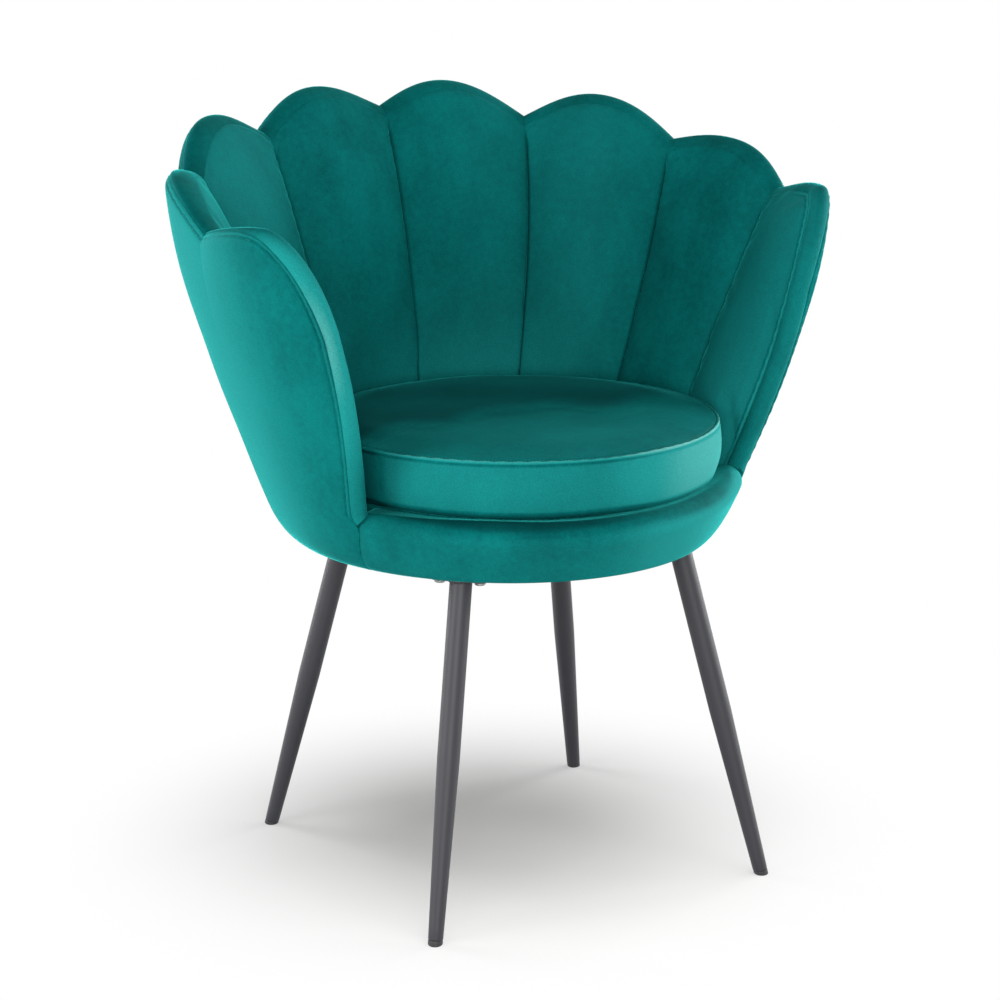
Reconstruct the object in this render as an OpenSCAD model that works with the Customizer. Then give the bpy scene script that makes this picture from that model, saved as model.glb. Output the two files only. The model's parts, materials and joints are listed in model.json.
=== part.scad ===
// Shell armchair: a channelled, scalloped tub on a round base, a loose round cushion
// and four splayed steel legs. All lengths are millimetres, +Z is up, the front is -Y.
// The origin is on the floor, under the middle of the chair's bounding box.

/* [Legs] */
// Height of the flat underside above the floor
base_z = 358; // [300:1:420]
// Half the distance between the centres of two feet on one side
foot_half = 196.5; // [170:0.5:215]
// Lean of a leg, along the diagonal of the seat
leg_splay = 15; // [8:0.5:17]
// Diameter of a leg's straight upper part
leg_top_d = 23; // [16:0.5:26]
// Diameter of a leg at its foot
leg_foot_d = 15; // [11:0.5:16]
// Length of a leg's tapered lower part
leg_taper_len = 185; // [100:5:280]
// Wall of the leg tube
leg_wall = 1.5; // [1:0.1:2.5]
// Height of the plastic glide that shows under the tube
glide_h = 5; // [3:0.5:12]
// Length of the glide's plug inside the tube
plug_len = 14; // [8:1:30]
// Width and depth of a leg's mounting plate
plate_size = 60; // [54:1:64]
// Thickness of a leg's mounting plate
plate_t = 3; // [2:0.5:5]
// Corner radius of a leg's mounting plate
plate_corner = 8; // [4:1:12]
// Distance from the plate's centre to a bolt, along each side
bolt_offset = 21; // [18:0.5:21]
// Diameter of a leg bolt
bolt_d = 6; // [5:0.5:7]
// Length of a leg bolt under its head
bolt_len = 14; // [10:0.5:16]

/* [Base] */
// Radius of the flat underside, where the cover turns up
base_r = 206; // [196:1:210]
// Thickness of the round base board
board_t = 15; // [12:1:18]
// Distance of the seat ring's edge inside the edge of the underside
ring_margin = 10; // [8:1:16]
// Width of the seat ring
ring_w = 46; // [40:1:60]
// Thickness of the seat ring
ring_t = 18; // [15:1:21]
// Thickness of the dust cover under the board
dust_t = 0.8; // [0.5:0.1:1.5]
// Width of a strip of seat webbing
web_w = 40; // [30:1:45]
// Thickness of a strip of seat webbing
web_t = 1; // [0.8:0.1:1.2]
// Distance between the middles of two strips
web_pitch = 55; // [50:1:56]
// Thickness of the deck pad under the cushion
deck_t = 30; // [20:1:40]
// Gap between the deck pad and the well that the cushion sits in
deck_play = 1.3; // [1:0.1:6]
// Diameter of a dowel between ring and board
dowel_d = 8; // [6:1:10]
// Length of a dowel
dowel_len = 26; // [20:1:28]
// Number of dowels
dowel_count = 6; // [4:1:8]

/* [Outer wall] */
// Height over the underside at which the bottom rounding ends
turn_h = 42; // [35:1:47]
// Height over the underside of the lower set of wall widths
low_h = 62; // [60:1:90]
// Height over the underside of the upper set of wall widths
high_h = 362; // [330:1:400]
// Half the outer width at the lower height
half_w_low = 264; // [255:1:275]
// Half the outer width at the upper height
half_w_high = 370; // [350:1:385]
// Outward bow of the sides between the two heights
bow_w = 15; // [0:1:30]
// Height over the underside from which the sides curl upright
curl_h = 230; // [200:5:280]
// Rise over that height at which the curl is measured
curl_rise = 100; // [80:5:140]
// Inward curl of the sides at that rise
curl_in = 7; // [0:0.5:12]
// Outer depth behind the wall's axis at the lower height
half_b_low = 247; // [242:1:260]
// Outer depth behind the wall's axis at the upper height
half_b_high = 303; // [290:1:320]
// Outward bow of the back between the two heights
bow_b = 6; // [0:1:20]
// Outer depth before the wall's axis at the lower height
half_f_low = 224; // [218:1:232]
// Outer depth before the wall's axis at the upper height
half_f_high = 302; // [285:1:320]
// Outward bow of the front half between the two heights
bow_f = 40; // [10:1:50]
// Distance of the wall's axis behind the middle of the feet
axis_y = 6; // [0:1:15]

/* [Petals] */
// Turn from the middle seam to the next one, in degrees
seam_1 = 28.4; // [25:0.1:32]
// Turn from the middle seam to the second one, in degrees
seam_2 = 59.4; // [55:0.1:63]
// Turn from the middle seam to the third one, in degrees
seam_3 = 91.3; // [86:0.1:95]
// Height of the rim over the underside at the middle seam
valley_0 = 422; // [400:1:450]
// Height of the rim over the underside at the first seam
valley_1 = 406; // [385:1:435]
// Height of the rim over the underside at the second seam
valley_2 = 384; // [350:1:400]
// Height of the rim over the underside at the third seam
valley_3 = 344; // [315:1:360]
// Rise of the two middle petals over their valleys
arch_0 = 32.5; // [10:0.5:45]
// Rise of the next two petals over their valleys
arch_1 = 34.5; // [10:0.5:45]
// Rise of the two side petals over their valleys
arch_2 = 23; // [10:1:45]
// Height over the underside of the top of a front petal
peak_h = 358; // [350:1:395]
// Place of that top along the petal, from 0 at the seam to 1 at the front
peak_at = 0.62; // [0.35:0.01:0.7]
// Height over the underside at which a front edge reaches furthest forward
nose_h = 262; // [230:1:290]
// Distance of that point before the middle of the feet
nose_y = 150; // [140:1:165]
// Distance of a front edge's foot before the middle of the feet
toe_y = 107; // [100:1:114]

/* [Padding] */
// Thickness of the wall along the rim, which is the width of the edge band
rim_t = 25; // [22:0.5:30]
// Extra thickness of the wall well below the rim
body_t = 45; // [40:1:55]
// Depth below the rim over which the wall grows to that thickness
body_fade = 80; // [60:1:110]
// Depth behind a front edge over which the wall grows
front_fade = 45; // [35:1:60]
// Height of the dome of the edge band
band_h = 9; // [6:0.5:12]
// Swell of a channel's inner face between two seams
puff_in = 12; // [0:0.5:16]
// Drawing in of the outer face at the seams between two petals, along the rim
draw_in = 7; // [0:0.5:10]
// Width of the cavity that holds the back frame
cavity = 14; // [12:0.5:15]
// Gap between two pieces that lie against each other
gap = 0.3; // [0.2:0.05:0.5]

/* [Front rail] */
// Reach of the rail before the line of the wall, at its middle
rail_bulge = 27; // [15:1:30]
// Radius of the roll along the top of the rail
rail_roll = 17; // [10:1:18]

/* [Back frame] */
// Diameter of the two bent hoops
hoop_d = 9; // [8:0.5:10]
// Distance of the upper hoop from the rim and the front edges
hoop_inset = 50; // [45:1:60]
// Diameter of an upright rod
rod_d = 7; // [6:0.5:8]
// Width of a fixing tab
tab_w = 22; // [16:1:26]
// Thickness of a fixing tab
tab_t = 2.5; // [2:0.1:3]
// Diameter of a tab screw
screw_d = 4.5; // [4:0.1:5]
// Length of a tab screw under its head
screw_len = 16; // [12:1:19]

/* [Cushion] */
// Radius of the cushion along its upper seam
cushion_r = 212; // [205:0.5:212]
// Radius of the cushion along its lower seam
cushion_foot_r = 207; // [200:0.5:212]
// Swell of the cushion's side beyond a line between its two seams
cushion_swell = 5.5; // [2:0.5:6]
// Distance between the two seams
cushion_side_h = 60; // [40:1:75]
// Rise of the crown over the upper seam
crown_h = 10; // [2:0.5:20]
// Distance of the cushion's centre before the middle of the feet
cushion_y = 10.7; // [6:0.1:14]
// Thickness of the cushion's cover
cover_fabric = 2; // [1:0.5:3]

/* [Hidden] */
$fn = 64;

velvet = [0.02, 0.42, 0.38];
dark_steel = [0.16, 0.16, 0.18];
zinc = [0.72, 0.73, 0.75];
ply = [0.78, 0.62, 0.42];
foam = [0.90, 0.86, 0.70];
black_cloth = [0.08, 0.08, 0.09];

// Heights over the underside of the pieces stacked on the base board
least_step = 1;
ring_r = base_r - ring_margin;
ring_top = board_t + ring_t;
tab_top = ring_top + tab_t;
deck_z = max(ring_top + 2 * web_t + 2 * gap, tab_top) + gap;
deck_top = deck_z + deck_t;
roll_z = max(deck_top - rail_roll, turn_h + least_step);
pad_foot = tab_top + gap;
hoop_h = tab_top + gap + hoop_d / 2;
cover_t = (rim_t - gap) / 2;

// The seat well is the upright cylinder that the cushion lifts out through
well_y = -cushion_y;
side_r = max(cushion_r, (cushion_r + cushion_foot_r) / 2 + cushion_swell);
well_play = 1;
well_r = side_r + well_play;
well_soft = 4;
deck_r = well_r - cushion_y - deck_play;

// Share of the way between the lower and the upper set of wall widths
function share(z) = (z - low_h) / (high_h - low_h);
function mix(a, b, t) = a + (b - a) * t;
function bowed(low, high, bow, z) = mix(low, high, share(z)) + bow * share(z) * (1 - share(z));
function curled(z) = curl_in * (max(z - curl_h, 0) / curl_rise) ^ 2;
function half_w(z) = bowed(half_w_low, half_w_high, bow_w, z) - curled(z);
function half_b(z) = bowed(half_b_low, half_b_high, bow_b, z);
function half_f(z) = bowed(half_f_low, half_f_high, bow_f, z);
function bend(a, b, c, t) = (1 - t) * (1 - t) * a + 2 * t * (1 - t) * b + t * t * c;

// The bottom rounding is a quadratic curve, on which the height is turn_h times t squared
function turn(z) = z < turn_h ? sqrt(max(z, 0) / turn_h) : 1;
function semi(z, flat, at_base, at_turn, above) = z < turn_h ? bend(flat, at_base, at_turn, turn(z)) : above;
function semi_w(z) = semi(z, base_r, half_w(0), half_w(turn_h), half_w(z));
function semi_b(z) = semi(z, base_r, half_b(0), half_b(turn_h), half_b(z));
function semi_f(z) = semi(z, base_r, half_f(0), half_f(turn_h), half_f(z));
function centre_y(z) = semi(z, 0, axis_y, axis_y, axis_y);

// A point on the outer wall at a turn from the back, moved inwards by t. The move is level
// on the wall and swings upright towards the underside where lean is 1.
function wall_normal(a, z) =
    let (n = [sin(a) / semi_w(z), cos(a) / (cos(a) >= 0 ? semi_b(z) : semi_f(z))]) n / norm(n);
function wall_point(a, z, t, lean = 0) =
    let (
        b = cos(a) >= 0 ? semi_b(z) : semi_f(z),
        n = wall_normal(a, z),
        tip = lean * 90 * (1 - turn(z))
    )
    [semi_w(z) * sin(a) - t * n[0] * cos(tip), centre_y(z) + b * cos(a) - t * n[1] * cos(tip),
        z + t * sin(tip)];

// Petal coordinate u runs from -4 at the left front edge over 0 at the middle seam to 4.
// g insets the outline from the rim and the front edges.
lean_h = deck_top + least_step;
function rise(z) = sin(90 * min(max((z - lean_h) / (nose_h - lean_h), 0), 1));
function edge_y(z, g) = -mix(toe_y, nose_y, rise(z)) + g;
function edge_turn(z, g) = acos((edge_y(z, g) - centre_y(z)) / semi_f(z));
function seam_turn(a) = lookup(a, [[0, 0], [1, seam_1], [2, seam_2], [3, seam_3]]);
function petal_turn(u, z, g) =
    let (a = abs(u)) sign(u) * (a <= 3 ? seam_turn(a) : mix(seam_3, edge_turn(z, g), a - 3));

function valley(a) = lookup(a, [[0, valley_0], [1, valley_1], [2, valley_2], [3, valley_3]]);
function arch(a) = a < 1 ? arch_0 : a < 2 ? arch_1 : arch_2;
function top_back(a, k) = valley(a) + k * arch(a) * abs(sin(180 * a));
function top_rear(a) = mix(valley_3, peak_h, sin(90 * (a - 3) / peak_at));
function top_front(a) =
    let (q = min((a - 3 - peak_at) / (1 - peak_at), 1)) nose_h + (peak_h - nose_h) * sqrt(1 - q * q);
function rim_h(u, g, k = 1) =
    let (a = abs(u)) (a <= 3 ? top_back(a, k) : a <= 3 + peak_at ? top_rear(a) : top_front(a)) - g;

// Distances from the rim and from the front edge, and how far the padding has grown there.
// front_arc is the length round the wall of a front petal; the fades are lengths too.
front_arc = 150;
draw_fade = 45;
channel_fade = 30;
channel_power = 2.6;
cavity_fade = 25;
function below_rim(u, z) = max(rim_h(u, 0) - z, 0);
function behind_edge(u) = (4 - abs(u)) * front_arc;
function grown(u, z, fade, side) = (1 - exp(-below_rim(u, z) / fade)) * (1 - exp(-behind_edge(u) / side));
function drawn_in(u, z) = draw_in * (1 - abs(sin(180 * u))) * exp(-below_rim(u, z) / draw_fade);
function channel(u) = 1 - abs(2 * (abs(u) - floor(abs(u))) - 1) ^ channel_power;
function swell_in(u, z) = puff_in * channel(min(abs(u), 3.999)) * grown(u, z, channel_fade, channel_fade);
function wall_depth(u, z) = rim_t + body_t * grown(u, z, body_fade, front_fade);
function cavity_at(u, z) = cavity * grown(u, z, cavity_fade, cavity_fade);

// A point of a layer, at depth t below the outer face of its petal
function layer(u, z, g, t, lean = 0) = wall_point(petal_turn(u, z, g), z, t + drawn_in(u, z), lean);
function clear_of_well(p) =
    let (v = [p[0], p[1] - well_y], r = norm(v))
    let (k = (r + well_r + sqrt((r - well_r) ^ 2 + well_soft ^ 2)) / 2 / r)
    [v[0] * k, well_y + v[1] * k, p[2]];
function inner_face(u, z, g) = clear_of_well(layer(u, z, g, wall_depth(u, z) + swell_in(u, z)));
function pad_back(u, z, g) = layer(u, z, g, cover_t + gap + cavity_at(u, z));
function cavity_mid(u, z, g) = layer(u, z, g, cover_t + (gap + cavity_at(u, z)) / 2);

// The chair is centred on its bounding box
back_reach = max([for (u = [0 : 0.05 : 1]) layer(u, rim_h(u, band_h), band_h, 0)[1]]);
front_reach = centre_y(roll_z) - semi_f(roll_z) - rail_bulge;
shift_y = -(back_reach + front_reach) / 2;
module place() translate([0, shift_y, base_z]) children();
module stand() translate([0, shift_y, 0]) children();

// A closed solid between two grids of points, a facing the sitter and b facing away
module slab(a, b) {
    rows = len(a[0]);
    n = len(a) * rows;
    last = len(a) - 1;
    top = rows - 1;
    quads = concat(
        [for (i = [0 : last - 1], j = [0 : top - 1])
            [i * rows + j, i * rows + j + 1, (i + 1) * rows + j + 1, (i + 1) * rows + j]],
        [for (i = [0 : last - 1], j = [0 : top - 1])
            [n + i * rows + j, n + (i + 1) * rows + j, n + (i + 1) * rows + j + 1, n + i * rows + j + 1]],
        [for (i = [0 : last - 1]) [i * rows, (i + 1) * rows, n + (i + 1) * rows, n + i * rows]],
        [for (i = [0 : last - 1])
            [(i + 1) * rows + top, i * rows + top, n + i * rows + top, n + (i + 1) * rows + top]],
        [for (j = [0 : top - 1]) [j + 1, j, n + j, n + j + 1]],
        [for (j = [0 : top - 1])
            [last * rows + j + 1, n + last * rows + j + 1, n + last * rows + j, last * rows + j]]
    );
    points = [for (side = [a, b], column = side, p = column) p];
    polyhedron(points, [for (q = quads, t = [[q[0], q[1], q[2]], [q[0], q[2], q[3]]]) t], convexity = 8);
}

// A closed solid through a row of rings, each a loop that runs clockwise seen from its start
module skin(rings) {
    m = len(rings[0]);
    k = len(rings);
    sides = [for (i = [0 : k - 2], j = [0 : m - 1], s = [0, 1])
        let (e = (j + 1) % m)
        s == 0 ? [i * m + j, i * m + e, (i + 1) * m + e] : [i * m + j, (i + 1) * m + e, (i + 1) * m + j]];
    ends = concat(
        [for (j = [1 : m - 2]) [0, j + 1, j]],
        [for (j = [1 : m - 2]) [(k - 1) * m, (k - 1) * m + j, (k - 1) * m + j + 1]]
    );
    polyhedron([for (ring = rings, p = ring) p], concat(sides, ends), convexity = 8);
}

// A round bar along a path, whose rings are turned by the wall's normal at each point
module bar(path, normals, r, sides = 8) {
    last = len(path) - 1;
    skin([for (i = [0 : last])
        let (
            along = path[min(i + 1, last)] - path[max(i - 1, 0)],
            t = along / norm(along),
            n0 = normals[i] - (normals[i] * t) * t,
            n = n0 / norm(n0),
            b = cross(t, n)
        )
        [for (j = [0 : sides - 1]) path[i] + r * (cos(360 * j / sides) * n - sin(360 * j / sides) * b)]]);
}

// Petal coordinates of the columns of one petal: even behind, and even in turn round the nose
function columns(k, n) =
    k < 3 ? [for (i = [0 : n]) k + i / n]
        : concat(
            [for (i = [0 : n / 2]) 3 + peak_at * i / (n / 2)],
            [for (i = [1 : 2 * n / 3]) 3 + peak_at + (1 - peak_at) * sin(90 * i / (2 * n / 3))]
        );
function right_side(n) =
    concat([0], [for (k = [0 : 3]) let (c = columns(k, n)) each [for (i = [1 : len(c) - 1]) c[i]]]);
function both_sides(list) = concat([for (i = [len(list) - 1 : -1 : 1]) -list[i]], list);
function reversed(list) = [for (i = [len(list) - 1 : -1 : 0]) list[i]];
function mirrored(list) = [for (u = reversed(list)) -u];
function inside(u, k) = min(max(u, k + seam_share), k + 1 - (k < 3 ? seam_share : 0));
petal_width = 125;
seam_share = gap / 2 / petal_width;

// Legs: a tapered tube welded under a square plate, closed by a glide with a level sole
leg_dir = [sin(leg_splay), 0, cos(leg_splay)];
leg_reach = foot_half * sqrt(2);
under_plate = base_z - dust_t - plate_t;
leg_axis_len = under_plate / cos(leg_splay);
plate_back = 17;
plate_edge = 5;
plate_x = min(leg_reach - under_plate * tan(leg_splay) - plate_back, base_r - plate_edge - plate_size / 2);
hole_play = 0.6;
bolt_places = [for (x = [-1, 1], y = [-1, 1]) [plate_x + x * bolt_offset, y * bolt_offset]];
function corner_turn(front, right) = (front ? -1 : 1) * (right ? 45 : 135);
function leg_d(s) = mix(leg_foot_d, leg_top_d, min(s / leg_taper_len, 1));

// Draws its children, made along +X, on the diagonal of one corner
module corner(front, right) stand() rotate([0, 0, corner_turn(front, right)]) children();
module leg_line() translate([leg_reach, 0, 0]) rotate([0, -leg_splay, 0]) children();

module plate_outline() {
    inner = plate_size / 2 - plate_corner;
    hull() for (x = [-1, 1], y = [-1, 1]) translate([plate_x + x * inner, y * inner]) circle(plate_corner);
}

module leg(front, right) {
    color(dark_steel) corner(front, right) {
        translate([0, 0, under_plate]) linear_extrude(plate_t) difference() {
            plate_outline();
            for (p = bolt_places) translate(p) circle(d = bolt_d + hole_play);
        }
        difference() {
            leg_line() leg_tube();
            translate([-leg_reach, -leg_reach, under_plate]) cube([3 * leg_reach, 2 * leg_reach, base_z]);
        }
    }
}

// The tube's wall: up its outside, then down its bore
module leg_tube() rotate_extrude() polygon([
    for (s = [glide_h, leg_taper_len, leg_axis_len + glide_h]) [leg_d(s) / 2, s],
    for (s = [leg_axis_len + glide_h, leg_taper_len, glide_h]) [leg_d(s) / 2 - leg_wall, s]
]);

module glide(front, right) {
    plug_d = leg_foot_d - 2 * leg_wall - 2 * gap;
    color(black_cloth) corner(front, right) intersection() {
        leg_line() {
            translate([0, 0, -leg_foot_d]) cylinder(h = leg_foot_d + glide_h - gap, d = leg_foot_d);
            cylinder(h = glide_h + plug_len, d = plug_d);
        }
        translate([0, -leg_reach, 0]) cube([2 * leg_reach, 2 * leg_reach, base_z]);
    }
}

module at_bolts() for (f = [false, true], r = [false, true]) corner(f, r) for (p = bolt_places)
    translate([p[0], p[1], under_plate]) children();

module leg_bolts() {
    head_h = 0.6 * bolt_d;
    head_d = 1.9 * bolt_d;
    color(zinc) at_bolts() {
        translate([0, 0, -head_h]) cylinder(h = head_h, d = head_d, $fn = 32);
        cylinder(h = bolt_len, d = bolt_d, $fn = 32);
    }
}

// A tee nut sits flush in the board's upper face with its barrel pointing down
nut_flange = 1.5;
nut_flange_d = 3 * bolt_d;
nut_barrel = 9;
nut_wall = 1.2;
nut_barrel_d = bolt_d + 2 * nut_wall;
thread_play = 0.2;
module tee_nuts() {
    color(zinc) at_bolts() translate([0, 0, plate_t + dust_t + board_t]) difference() {
        union() {
            translate([0, 0, -nut_flange]) cylinder(h = nut_flange, d = nut_flange_d, $fn = 32);
            translate([0, 0, -nut_barrel]) cylinder(h = nut_barrel, d = nut_barrel_d, $fn = 32);
        }
        translate([0, 0, -nut_barrel - 1]) cylinder(h = nut_barrel + 2, d = bolt_d + thread_play, $fn = 32);
    }
}

dust_margin = 4;
module dust_cover() {
    color(black_cloth) difference() {
        place() translate([0, 0, -dust_t]) cylinder(h = dust_t, r = base_r - dust_margin);
        at_bolts() cylinder(h = board_t, d = bolt_d + hole_play, $fn = 32);
    }
}

module base_board() {
    color(ply) difference() {
        place() cylinder(h = board_t, r = base_r - gap);
        at_bolts() {
            cylinder(h = 2 * board_t, d = nut_barrel_d + 2 * thread_play, $fn = 32);
            translate([0, 0, plate_t + dust_t + board_t - nut_flange])
                cylinder(h = board_t, d = nut_flange_d + hole_play, $fn = 32);
        }
        dowel_shapes(gap / 2);
    }
}

// Dowels join the ring to the board. Each stands this far outside the ring's opening.
dowel_inset = 8;
module dowel_shapes(grow) {
    place() for (i = [0 : dowel_count - 1]) rotate([0, 0, 360 * i / dowel_count])
        translate([ring_r - ring_w + dowel_inset, 0, board_t - dowel_len / 2 - grow])
            cylinder(h = dowel_len + 2 * grow, d = dowel_d + 2 * grow, $fn = 32);
}

module dowels() color(ply) dowel_shapes(0);

module seat_ring() {
    color(ply) difference() {
        place() translate([0, 0, board_t]) difference() {
            cylinder(h = ring_t, r = ring_r);
            translate([0, 0, -1]) cylinder(h = ring_t + 2, r = ring_r - ring_w);
        }
        dowel_shapes(gap / 2);
        at_tabs() translate([screw_r, 0, -screw_len - 1])
            cylinder(h = 2 * screw_len, d = screw_d + thread_play, $fn = 32);
    }
}

// Webbing: three strips across, and three over them from front to back, lapped on the ring
web_lap = 16;
module seat_webbing() {
    reach = ring_r - ring_w + web_lap;
    color(black_cloth) place() for (layer_no = [0, 1], i = [-1 : 1]) {
        length = 2 * sqrt(reach ^ 2 - (abs(i) * web_pitch + web_w / 2) ^ 2);
        translate([0, 0, ring_top + layer_no * (web_t + gap)]) rotate([0, 0, 90 * layer_no])
            translate([-length / 2, i * web_pitch - web_w / 2, 0]) cube([length, web_w, web_t]);
    }
}

// Deck pad: a round foam cake under the cushion, with softened upper and lower edges
deck_soft = 4;
module deck_pad() {
    rim = deck_r - deck_soft;
    color(velvet) place() translate([0, 0, deck_z]) rotate_extrude($fn = 96) polygon(concat(
        [[0, 0]],
        [for (a = [-90 : 30 : 0]) [rim + deck_soft * cos(a), deck_soft + deck_soft * sin(a)]],
        [for (a = [0 : 30 : 90]) [rim + deck_soft * cos(a), deck_t - deck_soft + deck_soft * sin(a)]],
        [[0, deck_t]]
    ));
}

// Back frame: a lower hoop on tabs, seven rods and an upper hoop inside the wall's cavity
function hoop_point(u, z) = cavity_mid(u, z, 0);
function level_normal(u, z, g) = let (n = wall_normal(petal_turn(u, z, g), z)) [n[0], n[1], 0];
frame_end = 4 - hoop_inset / front_arc;

module lower_hoop() {
    us = [for (i = [-14 : 14]) frame_end * i / 14];
    color(dark_steel) place() bar(
        [for (u = us) hoop_point(u, hoop_h)],
        [for (u = us) level_normal(u, hoop_h, 0)],
        hoop_d / 2
    );
}

// The upper hoop follows the valleys with a fifth of the petals' rise, and ends on the lower one
hoop_arch = 0.2;
hoop_power = 0.8;
function hoop_top(u) = rim_h(u, hoop_inset, hoop_arch);
hoop_side = concat([for (i = [1 : 8]) [3 * i / 8, hoop_top(3 * i / 8)]],
    [for (a = [15 : 15 : 90]) [
        mix(3, frame_end, sin(a)),
        mix(nose_h - hoop_inset, hoop_top(3), cos(a) ^ hoop_power)
    ]],
    [for (i = [1 : 4]) [frame_end, mix(nose_h - hoop_inset, hoop_h + hoop_d / 2 + gap, i / 4)]]);
hoop_line = concat([for (s = reversed(hoop_side)) [-s[0], s[1]]], [[0, hoop_top(0)]], hoop_side);

module upper_hoop() {
    color(dark_steel) place() bar(
        [for (s = hoop_line) hoop_point(s[0], s[1])],
        [for (s = hoop_line) level_normal(s[0], s[1], 0)],
        hoop_d / 2
    );
}

// An upright follows the curve of the wall, and its two ends meet the hoops
module upright(k) {
    low = hoop_h + hoop_d / 2 + gap;
    high = hoop_top(k) - hoop_d / 2 - gap;
    zs = [for (i = [0 : 8]) mix(low, high, i / 8)];
    color(dark_steel) place()
        bar([for (z = zs) hoop_point(k, z)], [for (z = zs) level_normal(k, z, 0)], rod_d / 2);
}

// Tabs lie on the seat ring and carry the lower hoop at each upright
screw_r = ring_r - 2 * screw_d;
module at_tabs() place() for (k = [-3 : 3]) {
    p = hoop_point(k, hoop_h);
    translate([0, 0, ring_top]) rotate([0, 0, atan2(p[1], p[0])]) children();
}

module frame_tabs() {
    start = screw_r - tab_w / 2;
    color(dark_steel) difference() {
        place() for (k = [-3 : 3]) {
            p = hoop_point(k, hoop_h);
            reach = norm([p[0], p[1]]) - start;
            translate([0, 0, ring_top]) rotate([0, 0, atan2(p[1], p[0])])
                translate([start, -tab_w / 2, 0]) cube([reach, tab_w, tab_t]);
        }
        at_tabs() translate([screw_r, 0, -1]) cylinder(h = tab_t + 2, d = screw_d + hole_play, $fn = 32);
    }
}

module tab_screws() {
    color(zinc) at_tabs() translate([screw_r, 0, tab_t - screw_len])
        cylinder(h = screw_len, d = screw_d, $fn = 32);
}

// Outer cover: one padded skin from the underside round the bottom turn up to the edge band
cover_n = 6;
band_n = 2 * cover_n;
wall_rows = 6;
band_gap = band_h + gap;
row_power = 1.1;
function row_h(u, s) = mix(lean_h, rim_h(u, band_gap), sin(90 * s) ^ row_power);
function upper_rows(u) = [for (i = [0 : wall_rows]) row_h(u, i / wall_rows)];
function cover_rows(u) = concat([for (t = [0 : 0.25 : 1]) turn_h * t * t], upper_rows(u));

module outer_cover() {
    us = both_sides(right_side(cover_n));
    color(velvet) place() slab(
        [for (u = us) [for (z = cover_rows(u)) layer(u, z, band_gap, cover_t, 1)]],
        [for (u = us) [for (z = cover_rows(u)) layer(u, z, band_gap, 0, 1)]]
    );
}

// Edge band: a domed strip that closes the wall along the rim and down both front edges
function band_point(u, z, a) =
    let (g = band_h * (1 - sin(a)), t = rim_t / 2 * (1 - cos(a)))
    let (h = z == undef ? rim_h(u, g) : min(z, nose_h - g)) layer(u, h, g, t);
band_half = concat(
    [for (u = right_side(band_n)) [u, undef]],
    [for (i = [2 * wall_rows - 1 : -1 : 0]) [4, row_h(4, i / wall_rows / 2)]]
);
band_line = concat([for (i = [len(band_half) - 1 : -1 : 1]) [-band_half[i][0], band_half[i][1]]], band_half);

module edge_band() {
    color(velvet) place() skin([for (s = band_line) [for (a = [180 : -30 : 0]) band_point(s[0], s[1], a)]]);
}

// Channel pads: one for each petal, swelling between its seams towards the sitter
module channel_pad(number) {
    k = number <= 4 ? 4 - number : number - 5;
    half = [for (u = columns(k, band_n)) inside(u, k)];
    us = number <= 4 ? mirrored(half) : half;
    grid = [for (u = us) [for (z = concat([pad_foot, turn_h], upper_rows(u))) [u, z]]];
    color(velvet) place() slab(
        [for (column = grid) [for (s = column) inner_face(s[0], s[1], band_gap)]],
        [for (column = grid) [for (s = column) pad_back(s[0], s[1], band_gap)]]
    );
}

// Front rail: a padded bar between the feet of the two front edges, rolled over at the top.
// A point of its section is half width, half depth, centre, height and share of the bulge.
rail_lip = 2;
function rail_ring(s) =
    let (
        end_y = -toe_y + band_gap - gap,
        bulge = rail_bulge * cos(90 * s) ^ 2,
        outside = concat(
            [for (t = [0 : 0.25 : 1]) let (z = turn_h * t * t) [semi_w(z), semi_f(z), centre_y(z), z, t]],
            [for (a = [0 : 22.5 : 90]) [semi_w(roll_z) - rail_roll * (1 - cos(a)),
                semi_f(roll_z) - rail_roll * (1 - cos(a)), axis_y, roll_z + rail_roll * sin(a), 1]]
        ),
        within = [
            [deck_r + gap, deck_r + gap, 0, deck_top - rail_lip, 0],
            [deck_r + gap, deck_r + gap, 0, ring_top + gap, 0],
            [ring_r + least_step, ring_r + least_step, 0, ring_top + gap, 0],
            [base_r, base_r, 0, board_t + gap, 0]
        ]
    )
    [for (q = concat(outside, within))
        let (b = q[1] + q[4] * bulge, e = acos((end_y - q[2]) / q[1]), a = 180 - (180 - e) * s)
        let (y = q[2] + b * cos(a)) [q[0] * sin(a), y, q[3]]];

module front_rail() color(velvet) place() skin([for (i = [-10 : 10]) rail_ring(i / 10)]);

// Cushion: a body of revolution with a crowned top and a side that swells between two seams.
// The underside is rounded up to its seam, and the crown starts a step inside the upper seam.
foot_round = 8;
foot_rise = 3;
seam_step = 2;
crown_power = 0.9;
outline_n = 8;
function cushion_outline(off) = concat(
    [[0, off], [cushion_foot_r - foot_round - off, off]],
    [for (i = [0 : outline_n]) let (t = i / outline_n) [
        mix(cushion_foot_r, cushion_r, t) + cushion_swell * sin(180 * t) - off,
        mix(foot_rise + off, cushion_side_h - off, t)
    ]],
    [for (i = [1 : outline_n]) let (t = i / outline_n) [
        (cushion_r - seam_step - off) * cos(90 * t),
        cushion_side_h - off + crown_h * sin(90 * t) ^ crown_power
    ]]
);
module cushion_place() place() translate([0, well_y, deck_top + gap]) children();
module cushion_core() color(foam) cushion_place()
    rotate_extrude($fn = 96) polygon(cushion_outline(cover_fabric + gap));
module cushion_cover() {
    color(velvet) cushion_place() rotate_extrude($fn = 96) difference() {
        polygon(cushion_outline(0));
        polygon(cushion_outline(cover_fabric));
    }
}

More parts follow.
